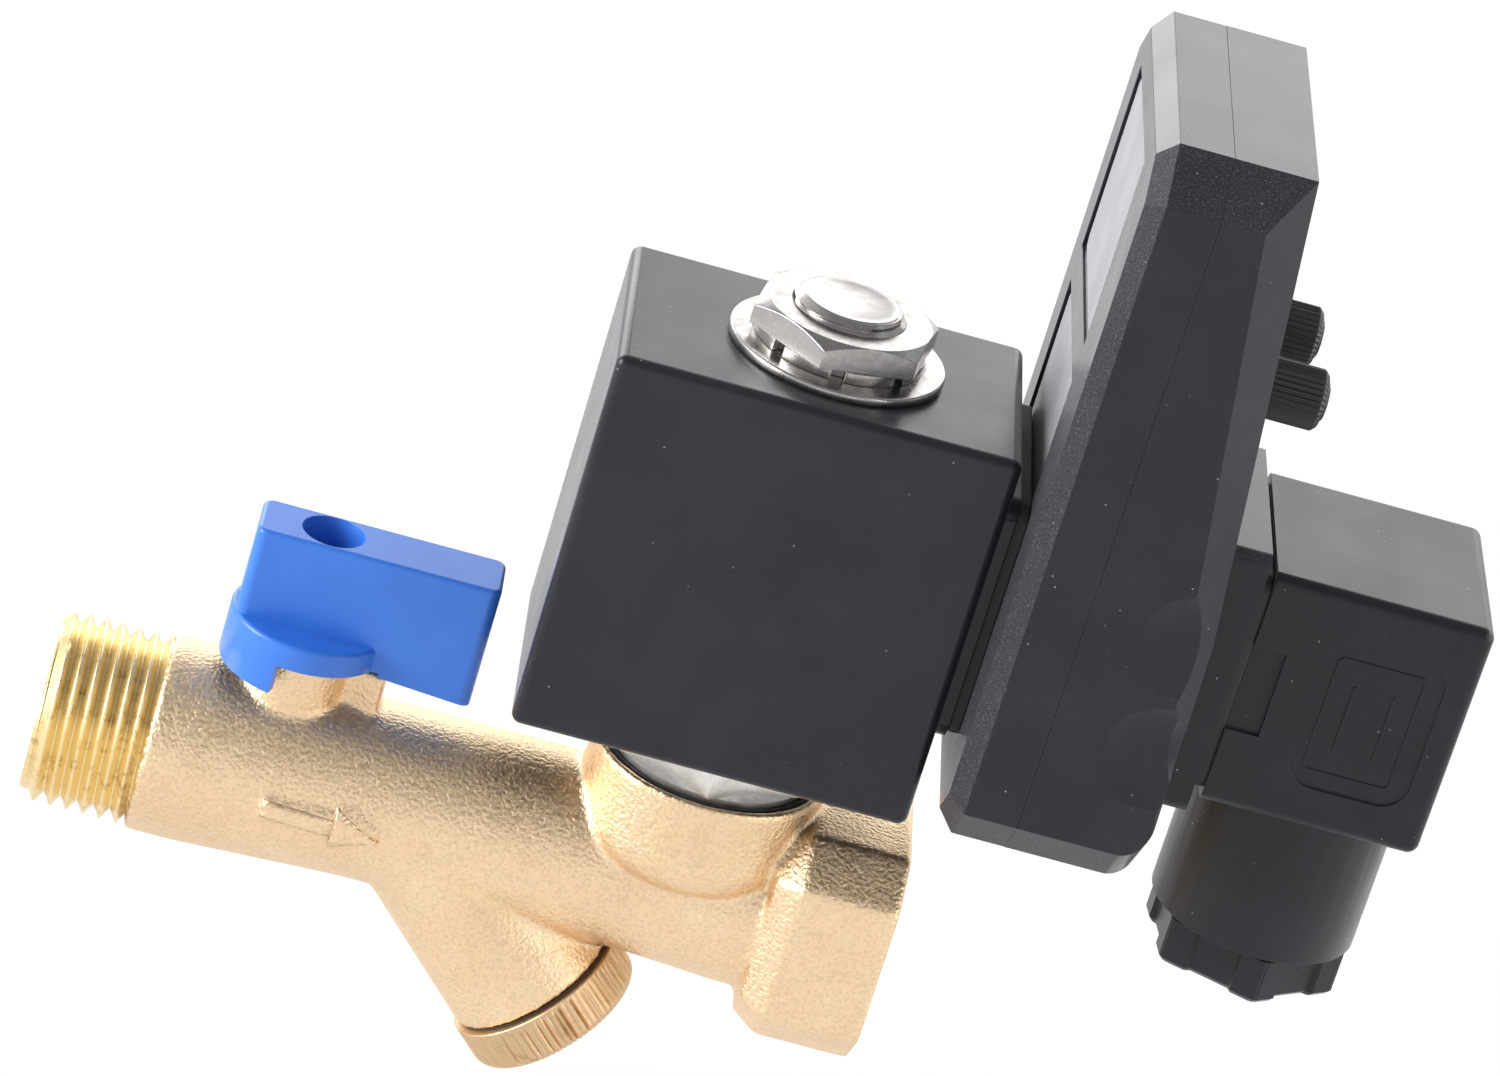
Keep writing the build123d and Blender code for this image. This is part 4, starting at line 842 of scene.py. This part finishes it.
# ------------------------------------------------------------------ labels and plug lines
# name, lowest and highest Z
LABELS = (("upper_label", 76.3, 97.6), ("lower_label", 48.0, 72.3))
TIMER_Y = 2.1
LABEL_HALF = 13.2
LABEL_Y = (TIMER_Y - LABEL_HALF, TIMER_Y + LABEL_HALF)
LABEL_MARGIN = 0.7
LABEL_CORNER = 1.2
LABEL_RECESS = 0.5
# name, two (along X, Z) corners from the plug's left side, corner radius, open ring
PLUG_LINES = (("plug_frame", (8.9, 37.4), (18.6, 51.2), 0.8, True),
              ("plug_bar_left", (11.4, 40.4), (11.75, 48.2), 0.15, False),
              ("plug_bar_right", (15.7, 40.4), (16.05, 48.2), 0.15, False))
PLUG_PANEL_DEPTH = 0.3


def rounded_outline(low, high, corner, steps=7):
    """Points of a rounded rectangle between two (a, b) corners."""
    points = []
    for a, b, start in ((high[0], high[1], 0), (low[0], high[1], 90), (low[0], low[1], 180),
                        (high[0], low[1], 270)):
        inward_a = -corner if a == high[0] else corner
        inward_b = -corner if b == high[1] else corner
        for step in range(steps):
            angle = math.radians(start + 90 * step / (steps - 1))
            points.append((a + inward_a + corner * math.cos(angle),
                           b + inward_b + corner * math.sin(angle)))
    return points


def stacked_mesh(name, outlines, ring):
    """Joins equal outlines one after another: into a ring, or into a slab with closed ends."""
    count = len(outlines[0])
    rows = len(outlines)
    faces = []
    for row in range(rows if ring else rows - 1):
        below = (row + 1) % rows
        for index in range(count):
            following = (index + 1) % count
            faces.append((row * count + index, row * count + following,
                          below * count + following, below * count + index))
    if not ring:
        faces.append(tuple(range(count)))
        faces.append(tuple(range((rows - 1) * count, rows * count)))
    vertices = [point for outline in outlines for point in outline]
    return mesh_from(name, vertices, faces, 30.0)


def add_label(name, low, high):
    """A blank plate in the recess of the timer's back."""
    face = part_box("timer_base")[0].x / MM + LABEL_RECESS
    outlines = []
    for x, inset in ((face, 0.0), (face - 0.12, 0.0), (face - 0.17, 0.05)):
        inset += LABEL_MARGIN
        outline = rounded_outline((LABEL_Y[0] + inset, low + inset),
                                  (LABEL_Y[1] - inset, high - inset), LABEL_CORNER)
        outlines.append([Vector((x, a, b)) * MM for a, b in outline])
    mesh = stacked_mesh(name, outlines, False)
    new_piece(name, mesh, FINISHES["label_silver"], "timer_base")


def add_plug_line(name, low, high, corner, ring):
    """A fine raised line or bar inside the plug's sunk panel."""
    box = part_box("plug_housing")
    left, front = box[0].x / MM, box[0].y / MM
    foot, top = front + PLUG_PANEL_DEPTH + 0.1, front + PLUG_PANEL_DEPTH - 0.14
    levels = ((foot, 0.0), (top, 0.06), (top, 0.30), (foot, 0.36))
    outlines = []
    for y, inset in levels if ring else levels[:2]:
        outline = rounded_outline((left + low[0] + inset, low[1] + inset),
                                  (left + high[0] - inset, high[1] - inset), corner - inset)
        outlines.append([Vector((a, y, b)) * MM for a, b in outline])
    mesh = stacked_mesh(name, outlines, ring)
    new_piece(name, mesh, FINISHES["black_plastic"], "plug_housing")


add_cast_body()
add_arrow()
add_scooped_cover()
add_strainer_cap()
add_core_end()
add_gland_nut()
add_knob("knob_off_time")
add_knob("knob_on_time")
for label in LABELS:
    add_label(*label)
for line in PLUG_LINES:
    add_plug_line(*line)


# ------------------------------------------------------------------ floor and light
# Metres from here on.
SHADOW_SHARE = 0.22    # how much of the floor's real shade the camera sees near the part
CAP_DROP = 0.0052      # room under the part for the strainer cap to be drawn out
FLOOR_HALF = 3.0
FRONT_SKY = 0.31       # strength of the sky overhead and high in front
BACK_GLOW = 1.1
PART_CENTRE = Vector((0.055, 0, 0.04))
# name, place, size, watts
PANELS = (("left", (-0.65, -0.15, 0.25), (0.4, 0.5), 7.0),
          ("back", (0.58, 0.70, 0.45), (1.2, 0.55), 3.7),
          ("back_left", (-0.25, 0.70, 0.26), (0.5, 0.36), 1.8),
          ("right", (0.75, -0.1, 0.35), (0.9, 0.8), 4.1))


def add_floor(low):
    """A pale floor that shines white to the camera, save for a share of the part's shadow."""
    n = Nodes("floor")
    bright = n.add("ShaderNodeEmission")
    bright.inputs["Strength"].default_value = 1.0
    path = n.add("ShaderNodeLightPath")
    tone = n.noise(60, 2.0)
    n.set(Base_Color=n.mix(tone, (0.86, 0.86, 0.86), (0.84, 0.84, 0.84)), Roughness=0.7,
          Specular_IOR_Level=0.2)
    shade = n.add("ShaderNodeMixShader")
    away = n.add("ShaderNodeVectorMath", operation="LENGTH")
    n.link(n.place, away.inputs[0])
    whiten = n.scale(away.outputs["Value"], 1 - SHADOW_SHARE, 1.0, start=0.25, end=0.7)
    seen = n.times(path.outputs["Is Camera Ray"], whiten)
    seen = n.math("MAXIMUM", seen, path.outputs["Is Glossy Ray"])
    seen = n.math("MAXIMUM", seen, path.outputs["Is Transmission Ray"])
    n.link(seen, shade.inputs["Fac"])
    n.link(n.shader.outputs["BSDF"], shade.inputs[1])
    n.link(bright.outputs["Emission"], shade.inputs[2])
    n.link(shade.outputs["Shader"], n.tree.nodes["Material Output"].inputs["Surface"])
    mesh = bpy.data.meshes.new("floor")
    corners = [(x * FLOOR_HALF, y * FLOOR_HALF, low)
               for x, y in ((-1, -1), (1, -1), (1, 1), (-1, 1))]
    mesh.from_pydata(corners, [], [(0, 1, 2, 3)])
    floor = bpy.data.objects.new("floor", mesh)
    bpy.context.scene.collection.objects.link(floor)
    floor.data.materials.append(n.material)


def add_panel(name, place, size, watts):
    data = bpy.data.lights.new(name, "AREA")
    data.shape = "RECTANGLE"
    data.size, data.size_y = size
    data.energy = watts
    light = bpy.data.objects.new(name, data)
    light.location = place
    aim = PART_CENTRE - Vector(place)
    light.rotation_euler = aim.to_track_quat("-Z", "Y").to_euler()
    bpy.context.scene.collection.objects.link(light)


def add_world():
    """White to the camera; to everything else bright round the horizon and dim overhead and
    high in front."""
    world = bpy.data.worlds.new("studio")
    bpy.context.scene.world = world
    world.use_nodes = True
    n = Tree(world.node_tree)
    split = n.add("ShaderNodeSeparateXYZ")
    n.link(n.add("ShaderNodeTexCoord").outputs["Generated"], split.inputs["Vector"])
    height = split.outputs["Z"]
    front = n.scale(height, 1.0, FRONT_SKY, start=0.15, end=0.55)
    back = n.scale(height, BACK_GLOW, FRONT_SKY, start=0.45, end=0.95)
    sky = n.scale(split.outputs["Y"], front, back, start=-0.1, end=0.35)
    seen = n.add("ShaderNodeLightPath").outputs["Is Camera Ray"]
    backdrop = n.tree.nodes["Background"]
    n.fill(backdrop.inputs["Color"], (1, 1, 1))
    n.link(n.scale(seen, sky, 1.0), backdrop.inputs["Strength"])


add_camera()
add_world()
add_floor(cad_box[0].z - CAP_DROP)
for panel in PANELS:
    add_panel(*panel)

bpy.context.scene.view_settings.view_transform = "Standard"
